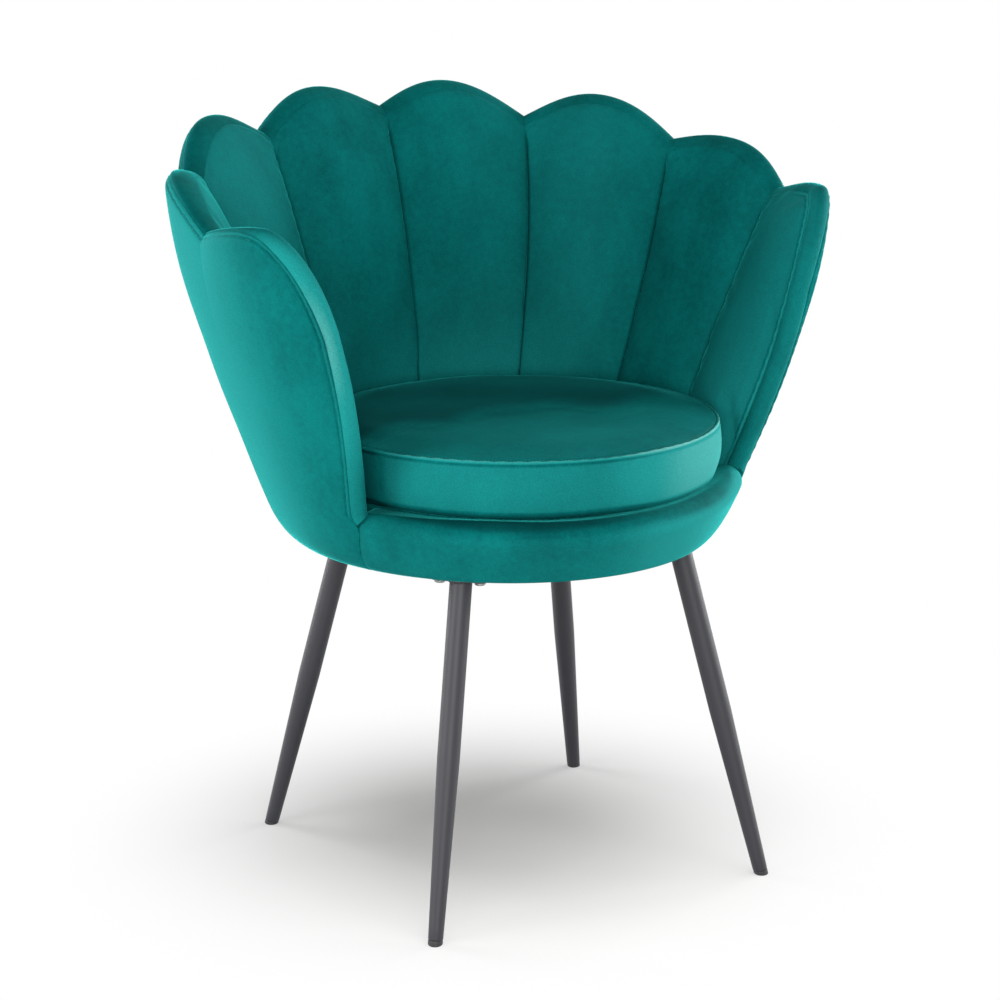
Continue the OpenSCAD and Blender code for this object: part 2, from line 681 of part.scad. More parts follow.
leg(true, false);  // leg_front_left
leg(true, true);  // leg_front_right
leg(false, false);  // leg_rear_left
leg(false, true);  // leg_rear_right
glide(true, false);  // glide_front_left
glide(true, true);  // glide_front_right
glide(false, false);  // glide_rear_left
glide(false, true);  // glide_rear_right
leg_bolts();
tee_nuts();
dust_cover();
base_board();
seat_ring();
dowels();
seat_webbing();
deck_pad();
lower_hoop();
upper_hoop();
upright(-3);  // upright_1
upright(-2);  // upright_2
upright(-1);  // upright_3
upright(0);  // upright_4
upright(1);  // upright_5
upright(2);  // upright_6
upright(3);  // upright_7
frame_tabs();
tab_screws();
outer_cover();
edge_band();
channel_pad(1);  // channel_pad_1
channel_pad(2);  // channel_pad_2
channel_pad(3);  // channel_pad_3
channel_pad(4);  // channel_pad_4
channel_pad(5);  // channel_pad_5
channel_pad(6);  // channel_pad_6
channel_pad(7);  // channel_pad_7
channel_pad(8);  // channel_pad_8
front_rail();
cushion_core();
cushion_cover();
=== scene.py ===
"""Shell armchair: its padded forms, stitching, finishes, studio and camera.

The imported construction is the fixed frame. Lengths are metres in the part's own frame: +Z is up,
the front is -Y, and the origin is on the floor under the middle of the chair.
"""

from __future__ import annotations

import json
import logging
import math
from collections.abc import Sequence
from dataclasses import dataclass, field
from enum import Enum
from typing import Any

import bpy
import numpy as np
from mathutils import Matrix, Vector


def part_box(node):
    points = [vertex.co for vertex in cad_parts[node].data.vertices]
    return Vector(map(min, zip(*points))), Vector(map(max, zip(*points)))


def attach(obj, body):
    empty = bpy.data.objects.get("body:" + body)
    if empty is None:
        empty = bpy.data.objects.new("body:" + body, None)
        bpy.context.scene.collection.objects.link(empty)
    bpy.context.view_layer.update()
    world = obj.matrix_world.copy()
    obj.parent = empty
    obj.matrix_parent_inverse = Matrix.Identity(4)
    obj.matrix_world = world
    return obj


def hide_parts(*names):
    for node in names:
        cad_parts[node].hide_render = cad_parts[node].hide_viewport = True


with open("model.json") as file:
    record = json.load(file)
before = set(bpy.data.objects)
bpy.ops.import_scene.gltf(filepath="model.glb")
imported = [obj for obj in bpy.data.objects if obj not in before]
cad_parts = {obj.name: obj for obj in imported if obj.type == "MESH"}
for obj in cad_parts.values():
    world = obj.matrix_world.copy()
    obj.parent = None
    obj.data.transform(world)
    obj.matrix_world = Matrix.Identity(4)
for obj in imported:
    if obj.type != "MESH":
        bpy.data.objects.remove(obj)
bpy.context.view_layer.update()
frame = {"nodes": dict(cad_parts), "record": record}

log = logging.getLogger("armchair")

MM = 0.001
QUARTER = math.pi / 2
TAU = 2 * math.pi
SHARP_ANGLE = math.radians(50)
# A wave texture's scale times the width of its bands.
BAND_SCALE = 0.314

# How far round from the front the camera stands. The painted light and shade of the seat cushion and
# the rail lie along the two level ways that follow from it, on the mesh. No finish of the chair reads the camera.
FACING = math.radians(-29.114)
TO_THE_RIGHT = np.array([math.cos(FACING), math.sin(FACING), 0.0])
TO_THE_VIEWER = np.array([math.sin(FACING), -math.cos(FACING), 0.0])


class Body(str, Enum):
    """The two bodies that pieces ride on."""

    CHAIR = "chair"
    CUSHION = "cushion"


class Side(Enum):
    """The two faces of the tub's wall, with the way their normals point from the wall's outside."""

    OUTER = 1
    INNER = -1


# Arrays of numbers


def mix(a: Any, b: Any, t: Any) -> Any:
    """Returns a + (b - a) t."""
    return a + (b - a) * t


def unit(v: np.ndarray) -> np.ndarray:
    """Returns vectors divided by their own lengths."""
    return v / np.maximum(np.linalg.norm(v, axis=-1, keepdims=True), 1e-12)


def bump_at(x: np.ndarray, width: float) -> np.ndarray:
    """Returns a bell of height 1 round x = 0: e to the minus (x / width) squared."""
    return np.exp(-((x / width) ** 2))


def eased(x: np.ndarray) -> np.ndarray:
    """Returns a smooth step from 0 to 1 as x goes from 0 to 1: 3x^2 - 2x^3."""
    x = np.clip(x, 0, 1)
    return x * x * (3 - 2 * x)


def close_ends(n: int, closeness: float) -> np.ndarray:
    """Shares from 0 to 1 that stand closer at both ends: t - c sin(2 pi t) / (2 pi).

    Args:
        n: number of steps.
        closeness: c, from 0 for even steps to nearly 1.

    Returns:
        n + 1 shares.
    """
    t = np.linspace(0, 1, n + 1)
    return t - closeness * np.sin(TAU * t) / TAU


def close_top(n: int, closeness: float) -> np.ndarray:
    """Shares from 0 to 1 that stand closer at the top: t + c sin(pi t) / pi.

    Args:
        n: number of steps.
        closeness: c, from 0 for even steps to nearly 1.

    Returns:
        n + 1 shares.
    """
    t = np.linspace(0, 1, n + 1)
    return t + closeness * np.sin(math.pi * t) / math.pi


def waves(points: np.ndarray, size: float, seed: int, count: int = 7) -> np.ndarray:
    """A soft, aimless ripple: the mean of sines of (direction . point) 2 pi / size + phase.

    Args:
        points: points in space, the last axis being x, y and z.
        size: mean length of a wave.
        seed: seed of the directions, phases and lengths.
        count: number of sines.

    Returns:
        One height for each point, mostly within -0.6 to 0.6.
    """
    rng = np.random.default_rng(seed)
    ways = unit(rng.normal(size=(count, 3))) * rng.uniform(0.7, 1.5, (count, 1)) * TAU / size
    return np.sin(points @ ways.T + rng.uniform(0, TAU, count)).mean(-1) * 1.6


def at_rows(values: np.ndarray, places: np.ndarray, wrap: bool = False) -> np.ndarray:
    """Values between the rows of a table, on smooth cubic curves through the rows.

    The weights of the four rows round a place are the Catmull-Rom ones in the share t past the
    second row: (-t + 2t^2 - t^3)/2, (2 - 5t^2 + 3t^3)/2, (t + 4t^2 - 3t^3)/2, (-t^2 + t^3)/2.

    Args:
        values: table whose first axis holds the rows.
        places: places between 0 and the last row's number.
        wrap: whether the rows go round.

    Returns:
        A table with one row for each place.
    """
    low = np.floor(places).astype(int)
    t = (places - low).reshape(-1, *([1] * (values.ndim - 1)))
    total = len(values)
    rows = [low - 1, low, low + 1, low + 2]
    rows = [r % total if wrap else np.clip(r, 0, total - 1) for r in rows]
    weights = (
        (-t + 2 * t**2 - t**3) / 2,
        (2 - 5 * t**2 + 3 * t**3) / 2,
        (t + 4 * t**2 - 3 * t**3) / 2,
        (-(t**2) + t**3) / 2,
    )
    return sum(w * values[r] for w, r in zip(weights, rows))


def stretched(values: np.ndarray, shape: tuple[int, int]) -> np.ndarray:
    """A coarse grid of values, spread on a finer one by at_rows along both axes.

    Args:
        values: coarse grid.
        shape: numbers of rows and columns wanted.

    Returns:
        The fine grid.
    """
    n, m = values.shape[:2]
    rows = at_rows(values, np.arange(shape[0]) * (n - 1) / (shape[0] - 1))
    columns = at_rows(rows.swapaxes(0, 1), np.linspace(0, m - 1, shape[1]))
    return columns.swapaxes(0, 1)


def turned(radii: np.ndarray, heights: np.ndarray, angles: np.ndarray) -> np.ndarray:
    """Returns the points of a turned surface: (r cos a, r sin a, h)."""
    return np.stack([radii * np.cos(angles), radii * np.sin(angles), heights + 0 * angles], -1)


# Faces and meshes


def grid_quads(n: int, m: int, around: bool = False, closed: bool = False) -> np.ndarray:
    """Faces of a grid of points, each with the corners (i, j), (i+1, j), (i+1, j+1), (i, j+1).

    Args:
        n: number of rows.
        m: number of columns.
        around: whether the columns go round.
        closed: whether the rows go round too.

    Returns:
        An array with four point numbers a face.
    """
    i = np.arange(n if closed else n - 1)[:, None]
    j = np.arange(m if around else m - 1)[None, :]
    i2, j2 = (i + 1) % n, (j + 1) % m
    return np.stack([i * m + j, i2 * m + j, i2 * m + j2, i * m + j2], -1).reshape(-1, 4)


def volume(points: np.ndarray, faces: Sequence[np.ndarray]) -> float:
    """Six times the volume inside faces: the sum of the triple products of their triangles.

    Args:
        points: points as (points, 3).
        faces: arrays of point numbers, with three or four a face.

    Returns:
        The sum, above 0 where the faces point outwards.
    """
    total = 0.0
    for f in faces:
        for k in range(1, f.shape[1] - 1):
            a, b, c = points[f[:, 0]], points[f[:, k]], points[f[:, k + 1]]
            total += float((a * np.cross(b, c)).sum())
    return total


class Shape:
    """The points and faces of one piece, gathered part by part."""

    def __init__(self) -> None:
        """Starts with no points."""
        self.points: list[np.ndarray] = []
        self.faces: list[np.ndarray] = []
        self.size = 0

    def part(self, points: np.ndarray, *faces: np.ndarray) -> Shape:
        """Adds a closed part, turned so that its faces point outwards.

        Args:
            points: its points.
            faces: arrays of point numbers, with three or four a face.

        Returns:
            The shape itself.
        """
        flat = points.reshape(-1, 3)
        if volume(flat, faces) < 0:
            faces = tuple(f[:, ::-1] for f in faces)
        self.faces += [f + self.size for f in faces]
        self.points.append(flat)
        self.size += len(flat)
        return self

    def rings(self, rings: np.ndarray) -> Shape:
        """Adds a stack of rings, closed at each end by a fan round the mean of the end ring.

        Args:
            rings: points as (rings, points round a ring, 3).

        Returns:
            The shape itself.
        """
        k, n = rings.shape[:2]
        i, j = np.arange(n), (np.arange(n) + 1) % n
        first = np.stack([np.full(n, k * n), i, j], -1)
        last = np.stack([np.full(n, k * n + 1), (k - 1) * n + j, (k - 1) * n + i], -1)
        points = np.concatenate([rings.reshape(-1, 3), rings[[0, -1]].mean(1)])
        return self.part(points, grid_quads(k, n, around=True), np.concatenate([first, last]))

    def loop(self, rings: np.ndarray) -> Shape:
        """Adds a closed loop of rings, as of a bead. Args: rings as in rings(). Returns: the shape itself."""
        return self.part(rings, grid_quads(*rings.shape[:2], around=True, closed=True))

    def slab(self, front: np.ndarray, back: np.ndarray) -> Shape:
        """Adds the closed solid between two grids of points with the same rows and columns.

        Args:
            front: points of the one face.
            back: points of the other.

        Returns:
            The shape itself.
        """
        n, m = front.shape[:2]
        quads = grid_quads(n, m)
        i, j = np.arange(n - 1), np.arange(m - 1)
        end, top, far = (n - 1) * m, m - 1, n * m
        rims = [
            [(i + 1) * m, i * m, far + i * m, far + (i + 1) * m],
            [i * m + top, (i + 1) * m + top, far + (i + 1) * m + top, far + i * m + top],
            [j, j + 1, far + j + 1, far + j],
            [end + j + 1, end + j, far + end + j, far + end + j + 1],
        ]
        sides = np.concatenate([np.stack(r, -1) for r in rims])
        return self.part(np.stack([front, back]), quads, quads[:, ::-1] + far, sides)

    def repeat(self, other: Shape, places: np.ndarray, axes: np.ndarray) -> Shape:
        """Adds copies of a small shape: place + x times the first axis + y the second + z the third.

        Args:
            other: the shape to repeat.
            places: points as (copies, 3).
            axes: three unit vectors for each copy, as (copies, 3, 3).

        Returns:
            The shape itself.
        """
        small = np.concatenate(other.points)
        points = np.einsum("pk,ckx->cpx", small, axes) + places[:, None, :]
        shifts = self.size + np.arange(len(places))[:, None, None] * len(small)
        self.faces += [(f[None] + shifts).reshape(-1, f.shape[1]) for f in other.faces]
        self.points.append(points.reshape(-1, 3))
        self.size += len(places) * len(small)
        return self

    def mesh(self, name: str) -> bpy.types.Object:
        """Makes a linked object at the origin, with these points and faces and smooth shading.

        Args:
            name: the object's name.

        Returns:
            The object.
        """
        points = np.concatenate(self.points)
        sizes = np.concatenate([np.full(len(f), f.shape[1]) for f in self.faces])
        corners = np.concatenate([f.ravel() for f in self.faces])
        mesh = bpy.data.meshes.new(name)
        mesh.vertices.add(len(points))
        mesh.vertices.foreach_set("co", points.astype(np.float32).ravel())
        mesh.loops.add(len(corners))
        mesh.loops.foreach_set("vertex_index", corners.astype(np.int32))
        mesh.polygons.add(len(sizes))
        mesh.polygons.foreach_set("loop_start", (np.cumsum(sizes) - sizes).astype(np.int32))
        mesh.polygons.foreach_set("use_smooth", np.ones(len(sizes), bool))
        mesh.update(calc_edges=True)
        mesh.validate()
        mesh.set_sharp_from_angle(angle=SHARP_ANGLE)
        obj = bpy.data.objects.new(name, mesh)
        bpy.context.scene.collection.objects.link(obj)
        return obj


def piece(
    shape: Shape,
    name: str,
    finish: Finish,
    body: Body,
    replaced: Sequence[str] = (),
    nap: np.ndarray | None = None,
) -> bpy.types.Object:
    """Makes a piece of a shape, with its finish, the body that it rides on and what it stands for.

    Args:
        shape: points and faces.
        name: name of the piece.
        finish: what it is made of.
        body: body that it rides on.
        replaced: construction nodes that it stands for.
        nap: painted light and shade at each of the first points, from -0.5, painted shade, to 1, painted highlight.

    Returns:
        The piece.
    """
    obj = shape.mesh(name)
    # Painted light and shade, stored on the mesh as a point attribute that the velvet reads.
    if nap is not None:
        painted_per_point = np.zeros(len(obj.data.vertices), np.float32)
        painted_per_point[: nap.size] = nap.ravel()
        obj.data.attributes.new("nap", "FLOAT", "POINT").data.foreach_set("value", painted_per_point)
    obj.data.materials.append(finish.material())
    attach(obj, body.value)
    if replaced:
        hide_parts(*replaced)
    log.info("%s: %d points, rides on %s", name, len(obj.data.vertices), body.value)
    return obj


def with_ends(nap: np.ndarray) -> np.ndarray:
    """Returns the painted light and shade of a stack of rings, followed by that of the two points that close it."""
    return np.append(nap, nap[[0, -1]].mean(1))


class SewnLine:
    """A line of sewing: points along it, the way out of the cloth at each, and the length so far."""

    def __init__(self, points: np.ndarray, out: np.ndarray) -> None:
        """Measures the line.

        Args:
            points: points along it.
            out: unit vectors that point out of the cloth.
        """
        steps = np.linalg.norm(np.diff(points, axis=0), axis=1)
        self.points, self.out = points, out
        self.along = np.concatenate([[0.0], np.cumsum(steps)])

    def evenly(self, pitch: float) -> SewnLine:
        """The same line with its points an even pitch apart.

        Args:
            pitch: distance between two points.

        Returns:
            A new line.
        """
        at = np.arange(pitch / 2, self.along[-1], pitch)
        both = [
            np.stack([np.interp(at, self.along, v[:, k]) for k in range(3)], -1) for v in (self.points, self.out)
        ]
        return SewnLine(both[0], unit(both[1]))

    def near(self, points: np.ndarray, reach: float) -> tuple[np.ndarray, np.ndarray]:
        """How far points lie from the line, found among all its points, and where along it.

        Args:
            points: grid of points.
            reach: distance past which nothing is measured.

        Returns:
            The distances, at most reach, and the lengths along the line.
        """
        flat = points.reshape(-1, 3)
        far, at = np.full(len(flat), reach), np.zeros(len(flat))
        squares = (self.points**2).sum(1)
        for block in np.array_split(np.arange(len(flat)), len(flat) // 4000 + 1):
            gaps = (flat[block] ** 2).sum(1)[:, None] + squares - 2 * flat[block] @ self.points.T
            found = gaps.argmin(1)
            nearest = np.sqrt(np.maximum(gaps[np.arange(len(block)), found], 0))
            far[block], at[block] = np.minimum(nearest, reach), self.along[found]
        return far.reshape(points.shape[:-1]), at.reshape(points.shape[:-1])

    def stitches(self, length: float, thickness: float, pitch: float) -> Shape:
        """Threads along the line, each a bar that dives into the cloth at both ends.

        A bar's middle rises as the cosine of the share of its half length.

        Args:
            length: length of one stitch.
            thickness: diameter of the thread.
            pitch: distance between two stitches.

        Returns:
            All the stitches as one shape.
        """
        line = self.evenly(pitch)
        along = unit(np.gradient(line.points, axis=0))
        side = unit(np.cross(line.out, along))
        s = np.linspace(-1, 1, 5)[:, None]
        a = np.arange(6)[None, :] * TAU / 6
        r = thickness / 2
        bar = np.stack(
            [s * length / 2 + 0 * a, r * np.cos(a) + 0 * s, r * np.sin(a) + thickness * (np.cos(s * QUARTER) - 0.5)],
            -1,
        )
        axes = np.stack([along, side, line.out], 1)
        return Shape().repeat(Shape().rings(bar), line.points, axes)


# Shading


class Signal:
    """A node's output, on which sums can be written. Each sum adds its Math node."""

    def __init__(self, board: Board, socket: bpy.types.NodeSocket) -> None:
        """Keeps the socket. Args: the board that the node is on, and the output socket."""
        self.board = board
        self.socket = socket

    def _sum(self, operation: str, a: Any, b: Any) -> Signal:
        """Adds a Math node for one operation. Args: its name and its two values. Returns: its output."""
        return self.board.add("ShaderNodeMath", {"operation": operation}, {0: a, 1: b})

    def __add__(self, other: Any) -> Signal:
        """Returns self + other."""
        return self._sum("ADD", self, other)

    def __radd__(self, other: Any) -> Signal:
        """Returns other + self."""
        return self._sum("ADD", other, self)

    def __sub__(self, other: Any) -> Signal:
        """Returns self - other."""
        return self._sum("SUBTRACT", self, other)

    def __rsub__(self, other: Any) -> Signal:
        """Returns other - self."""
        return self._sum("SUBTRACT", other, self)

    def __mul__(self, other: Any) -> Signal:
        """Returns self times other."""
        return self._sum("MULTIPLY", self, other)

    def __rmul__(self, other: Any) -> Signal:
        """Returns other times self."""
        return self._sum("MULTIPLY", other, self)

    def between(self, low: float, high: float) -> Signal:
        """A smooth step of this value. Args: where it starts and ends. Returns: 0 to 1."""
        values = {"Value": self, "From Min": low, "From Max": high}
        return self.board.add("ShaderNodeMapRange", {"interpolation_type": "SMOOTHSTEP"}, values)


class Board:
    """The nodes of one material, or of the world."""

    def __init__(self, name: str, owner: Any = None) -> None:
        """Starts an empty set of nodes.

        Args:
            name: name of a new material.
            owner: what owns the nodes, where that isn't a new material.
        """
        self.owner = owner or bpy.data.materials.new(name)
        self.owner.use_nodes = True
        self.tree = self.owner.node_tree
        self.tree.nodes.clear()

    def add(
        self, kind: str, settings: dict[str, Any] | None = None, inputs: dict[Any, Any] | None = None, out: Any = 0
    ) -> Signal:
        """Adds a node.

        Args:
            kind: the node's type.
            settings: its properties, set first; "stops" is a list of a ramp's places and colours.
            inputs: values or signals, by the name or number of the socket.
            out: name or number of the output that is wanted.

        Returns:
            That output.
        """
        node = self.tree.nodes.new(kind)
        for key, value in (settings or {}).items():
            if key == "stops":
                while len(node.color_ramp.elements) < len(value):
                    node.color_ramp.elements.new(1.0)
                for element, (place, colour) in zip(node.color_ramp.elements, value):
                    element.position, element.color = place, (*colour, 1.0)
            else:
                setattr(node, key, value)
        for key, value in (inputs or {}).items():
            socket = node.inputs[key]
            if isinstance(value, Signal):
                self.tree.links.new(value.socket, socket)
            elif socket.type == "RGBA":
                socket.default_value = (*value[:3], 1.0)
            else:
                socket.default_value = value
        return Signal(self, node.outputs[out])

    def place(self) -> Signal:
        """Returns the point on the piece, in the part's frame."""
        return self.add("ShaderNodeTexCoord", out="Object")

    def noise(self, scale: float, detail: float = 2.0, roughness: float = 0.5, at: Signal | None = None) -> Signal:
        """A cloudy noise. Args: scale in clouds a metre, detail, roughness, and where. Returns: its value."""
        values = {"Vector": at or self.place(), "Scale": scale, "Detail": detail, "Roughness": roughness}
        return self.add("ShaderNodeTexNoise", None, values, "Fac")

    def squeezed(self, x: float, y: float, z: float) -> Signal:
        """The place, with each axis times a factor. Args: the factors. Returns: the vector."""
        return self.add("ShaderNodeMapping", None, {"Vector": self.place(), "Scale": (x, y, z)})

    def blend(self, share: Any, a: Any, b: Any, how: str = "MIX") -> Signal:
        """A mix of two colours.

        Args:
            share: share of the second, a number or signal.
            a: first colour.
            b: second colour.
            how: blend mode.

        Returns:
            The colour.
        """
        settings = {"data_type": "RGBA", "blend_type": how, "clamp_factor": True}
        return self.add("ShaderNodeMix", settings, {0: share, 6: a, 7: b}, 2)

    def bump(self, height: Signal, depth: float, strength: float = 1.0, under: Signal | None = None) -> Signal:
        """A bump.

        Args:
            height: the height, from 0 to 1.
            depth: what a height of 1 is in metres.
            strength: share of it that shows.
            under: a bump under it.

        Returns:
            The normal.
        """
        values: dict[Any, Any] = {"Height": height, "Distance": depth, "Strength": strength}
        if under:
            values["Normal"] = under
        return self.add("ShaderNodeBump", None, values)

    def bands(self, way: str, width: float, distortion: float = 0.0) -> Signal:
        """Straight bands.

        Args:
            way: axis that they lie across.
            width: width of a band and its gap.
            distortion: how much they waver.

        Returns:
            Their height, from 0 to 1.
        """
        settings = {"wave_type": "BANDS", "bands_direction": way}
        values = {"Vector": self.place(), "Scale": BAND_SCALE / width, "Distortion": distortion}
        return self.add("ShaderNodeTexWave", settings, values, "Fac")

    def shade(self, inputs: dict[str, Any]) -> bpy.types.Material:
        """Ends the material with a principled shader. Args: its sockets' values. Returns: the material."""
        return self.end(self.add("ShaderNodeBsdfPrincipled", None, inputs))

    def seen(self) -> Signal:
        """Returns 1 for the rays of the camera, of mirrors and of glass, and 0 for those of matt light."""
        kinds = ("Camera", "Glossy", "Transmission")
        return sum(self.add("ShaderNodeLightPath", out=f"Is {kind} Ray") for kind in kinds).between(0.0, 1.0)

    def end(self, surface: Signal, kind: str = "ShaderNodeOutputMaterial") -> Any:
        """Ends the nodes with this surface. Args: a shader, and the output's type. Returns: the material."""
        self.tree.links.new(surface.socket, self.tree.nodes.new(kind).inputs["Surface"])
        return self.owner


_made: dict[Any, bpy.types.Material] = {}


@dataclass(frozen=True)
class Finish:
    """What a piece is made of. A finish's material is made once and shared."""

    slot: str

    def material(self) -> bpy.types.Material:
        """The finish's material, made the first time.

        Returns:
            The material.
        """
        if self not in _made:
            _made[self] = self.paint(Board(type(self).__name__.lower() + "_" + str(len(_made))))
        return _made[self]

    def paint(self, board: Board) -> bpy.types.Material:
        """Builds the nodes.

        Args:
            board: an empty board.

        Returns:
            The material.
        """
        raise NotImplementedError


@dataclass(frozen=True)
class Velvet(Finish):
    """Short-pile velvet: a deep colour with soft clouds, a fine grain and a strong sheen.

    A piece's painted light and shade, a point attribute, darkens the pile below 0 and lightens it above 0:
    painted shadows, painted shade in seams and grooves, and painted highlights.
    """

    slot: str = "velvet"
    deep: tuple[float, float, float] = (0.0, 0.085, 0.084)
    light: tuple[float, float, float] = (0.001, 0.165, 0.157)
    # Colours of painted shade, painted light and painted highlight, laid on by a piece's point attribute.
    dim: tuple[float, float, float] = (0.0, 0.035, 0.038)
    bright: tuple[float, float, float] = (0.010, 0.25, 0.24)
    pale: tuple[float, float, float] = (0.11, 0.40, 0.37)
    sheen: tuple[float, float, float] = (0.05, 1.0, 0.93)
    sheen_weight: float = 0.6

    def paint(self, board: Board) -> bpy.types.Material:
        """Builds the nodes.

        Args:
            board: an empty board.

        Returns:
            The material.
        """
        clouds = board.noise(7.0, 2.5, 0.55, board.squeezed(1.0, 1.0, 0.7))
        strokes = board.noise(26.0, 3.0, 0.6, board.squeezed(1.0, 1.0, 0.45))
        mottle = board.noise(150.0, 3.0, 0.65)
        grain = board.noise(900.0, 2.0, 0.7)
        share = clouds * 0.45 + strokes * 0.3 + mottle * 0.25
        colour = board.blend(share.between(0.32, 0.68), self.deep, self.light)
        # Painted light and shade from the piece's point attribute: towards the painted shade colour below 0, towards
        # the brighter and then the pale painted highlight colour above 0.
        nap = board.add("ShaderNodeAttribute", {"attribute_name": "nap"}, out="Fac")
        colour = board.blend((0.0 - nap).between(0.0, 0.5), colour, self.dim)
        colour = board.blend(nap.between(0.0, 0.5), colour, self.bright)
        colour = board.blend(nap.between(0.5, 1.0), colour, self.pale)
        shade = board.add("ShaderNodeValToRGB", {"stops": [(0.3, (0.78,) * 3), (0.7, (1.18,) * 3)]}, {"Fac": grain})
        colour = board.blend(1.0, colour, shade, "MULTIPLY")
        soft = board.bump(strokes, 1.2 * MM, 0.3)
        return board.shade(
            {
                "Base Color": colour,
                "Roughness": 0.78 + grain * 0.12,
                "Specular IOR Level": 0.04,
                "Sheen Weight": self.sheen_weight,
                "Sheen Roughness": 0.2,
                "Sheen Tint": self.sheen,
                "Normal": board.bump(grain, 0.35 * MM, 0.45, soft),
            }
        )


@dataclass(frozen=True)
class Thread(Finish):
    """Twisted sewing thread in the colour of the cloth."""

    slot: str = "velvet"

    def paint(self, board: Board) -> bpy.types.Material:
        """Builds the nodes.

        Args:
            board: an empty board.

        Returns:
            The material.
        """
        twist = board.noise(2600.0, 1.0)
        colour = board.blend(twist, (0.002, 0.12, 0.105), (0.01, 0.24, 0.21))
        return board.shade({"Base Color": colour, "Roughness": 0.55, "Normal": board.bump(twist, 0.1 * MM, 0.6)})


@dataclass(frozen=True)
class PowderCoat(Finish):
    """Fine matt powder coat: an even grey with a very fine orange-peel skin."""

    slot: str = "powder_coat"

    def paint(self, board: Board) -> bpy.types.Material:
        """Builds the nodes.

        Args:
            board: an empty board.

        Returns:
            The material.
        """
        peel = board.noise(1500.0, 2.0, 0.6)
        wear = board.noise(14.0, 4.0, 0.6)
        colour = board.blend(wear, (0.015, 0.0155, 0.0205), (0.023, 0.0235, 0.0295))
        rough = 0.44 + wear * 0.14
        return board.shade(
            {"Base Color": colour, "Roughness": rough, "Normal": board.bump(peel, 0.12 * MM, 0.35), "IOR": 1.5}
        )


@dataclass(frozen=True)
class Moulding(Finish):
    """Moulded plastic with a faint grain."""

    slot: str = "glide_plastic"

    def paint(self, board: Board) -> bpy.types.Material:
        """Builds the nodes.

        Args:
            board: an empty board.

        Returns:
            The material.
        """
        grain = board.noise(1100.0, 2.0)
        scuffs = board.noise(160.0, 5.0, 0.7)
        colour = board.blend(scuffs.between(0.5, 0.75), (0.018, 0.018, 0.02), (0.05, 0.05, 0.052))
        return board.shade(
            {"Base Color": colour, "Roughness": 0.5 + scuffs * 0.2, "Normal": board.bump(grain, 0.08 * MM, 0.4)}
        )


@dataclass(frozen=True)
class Metal(Finish):
    """Metal with fine scratches: bright zinc plate, or a dull black-finished bar."""

    slot: str = "zinc"
    dark: tuple[float, float, float] = (0.22, 0.225, 0.235)
    bright: tuple[float, float, float] = (0.38, 0.385, 0.39)
    metallic: float = 1.0
    roughness: float = 0.3

    def paint(self, board: Board) -> bpy.types.Material:
        """Builds the nodes.

        Args:
            board: an empty board.

        Returns:
            The material.
        """
        stains = board.noise(120.0, 4.0, 0.65)
        scratches = board.noise(420.0, 3.0, 0.6, board.squeezed(1.0, 1.0, 6.0))
        colour = board.blend(stains, self.dark, self.bright)
        return board.shade(
            {
                "Base Color": colour,
                "Metallic": self.metallic,
                "Roughness": self.roughness + stains * 0.22,
                "Normal": board.bump(scratches, 0.04 * MM, 0.5),
            }
        )


@dataclass(frozen=True)
class NonWoven(Finish):
    """Black spunbond cloth: pressed dots in a square pattern, with matted fibres between."""

    slot: str = "dust_cloth"

    def paint(self, board: Board) -> bpy.types.Material:
        """Builds the nodes.

        Args:
            board: an empty board.

        Returns:
            The material.
        """
        values = {"Vector": board.place(), "Scale": 620.0, "Randomness": 0.15}
        dots = board.add("ShaderNodeTexVoronoi", {"voronoi_dimensions": "2D"}, values)
        fibres = board.noise(700.0, 4.0, 0.75)
        colour = board.blend(fibres, (0.008, 0.008, 0.009), (0.026, 0.026, 0.028))
        height = dots.between(0.15, 0.4) + fibres * 0.5
        return board.shade({"Base Color": colour, "Roughness": 0.9, "Normal": board.bump(height, 0.2 * MM, 0.5)})


@dataclass(frozen=True)
class Ply(Finish):
    """Birch plywood: fine stretched grain on the face, with thin dark and pale layers on the edge."""

    slot: str = "plywood"
    layer: float = 1.5 * MM

    def paint(self, board: Board) -> bpy.types.Material:
        """Builds the nodes.

        Args:
            board: an empty board.

        Returns:
            The material.
        """
        grain = board.noise(60.0, 5.0, 0.6, board.squeezed(0.12, 1.0, 1.0))
        layers = board.bands("Z", self.layer, 0.3)
        colour = board.blend(grain, (0.44, 0.28, 0.14), (0.64, 0.46, 0.27))
        colour = board.blend(layers * 0.3, colour, (0.3, 0.18, 0.09))
        return board.shade({"Base Color": colour, "Roughness": 0.62, "Normal": board.bump(grain, 0.3 * MM, 0.3)})


@dataclass(frozen=True)
class Webbing(Finish):
    """Woven elastic webbing: a plain weave of black threads with a grey fuzz, darker between the threads as painted
    shade.
    """

    slot: str = "webbing"
    thread: float = 1.6 * MM

    def paint(self, board: Board) -> bpy.types.Material:
        """Builds the nodes.

        Args:
            board: an empty board.

        Returns:
            The material.
        """
        weave = board.bands("X", self.thread) * board.bands("Y", self.thread)
        fuzz = board.noise(500.0, 3.0, 0.7)
        # The weave's crossings lighter and the gaps between threads darker, painted shade, mixed with the fuzz's own
        # grey.
        colour = board.blend(weave * 0.6 + fuzz * 0.4, (0.012, 0.012, 0.014), (0.055, 0.055, 0.06))
        return board.shade({"Base Color": colour, "Roughness": 0.85, "Normal": board.bump(weave, 0.4 * MM, 0.7)})


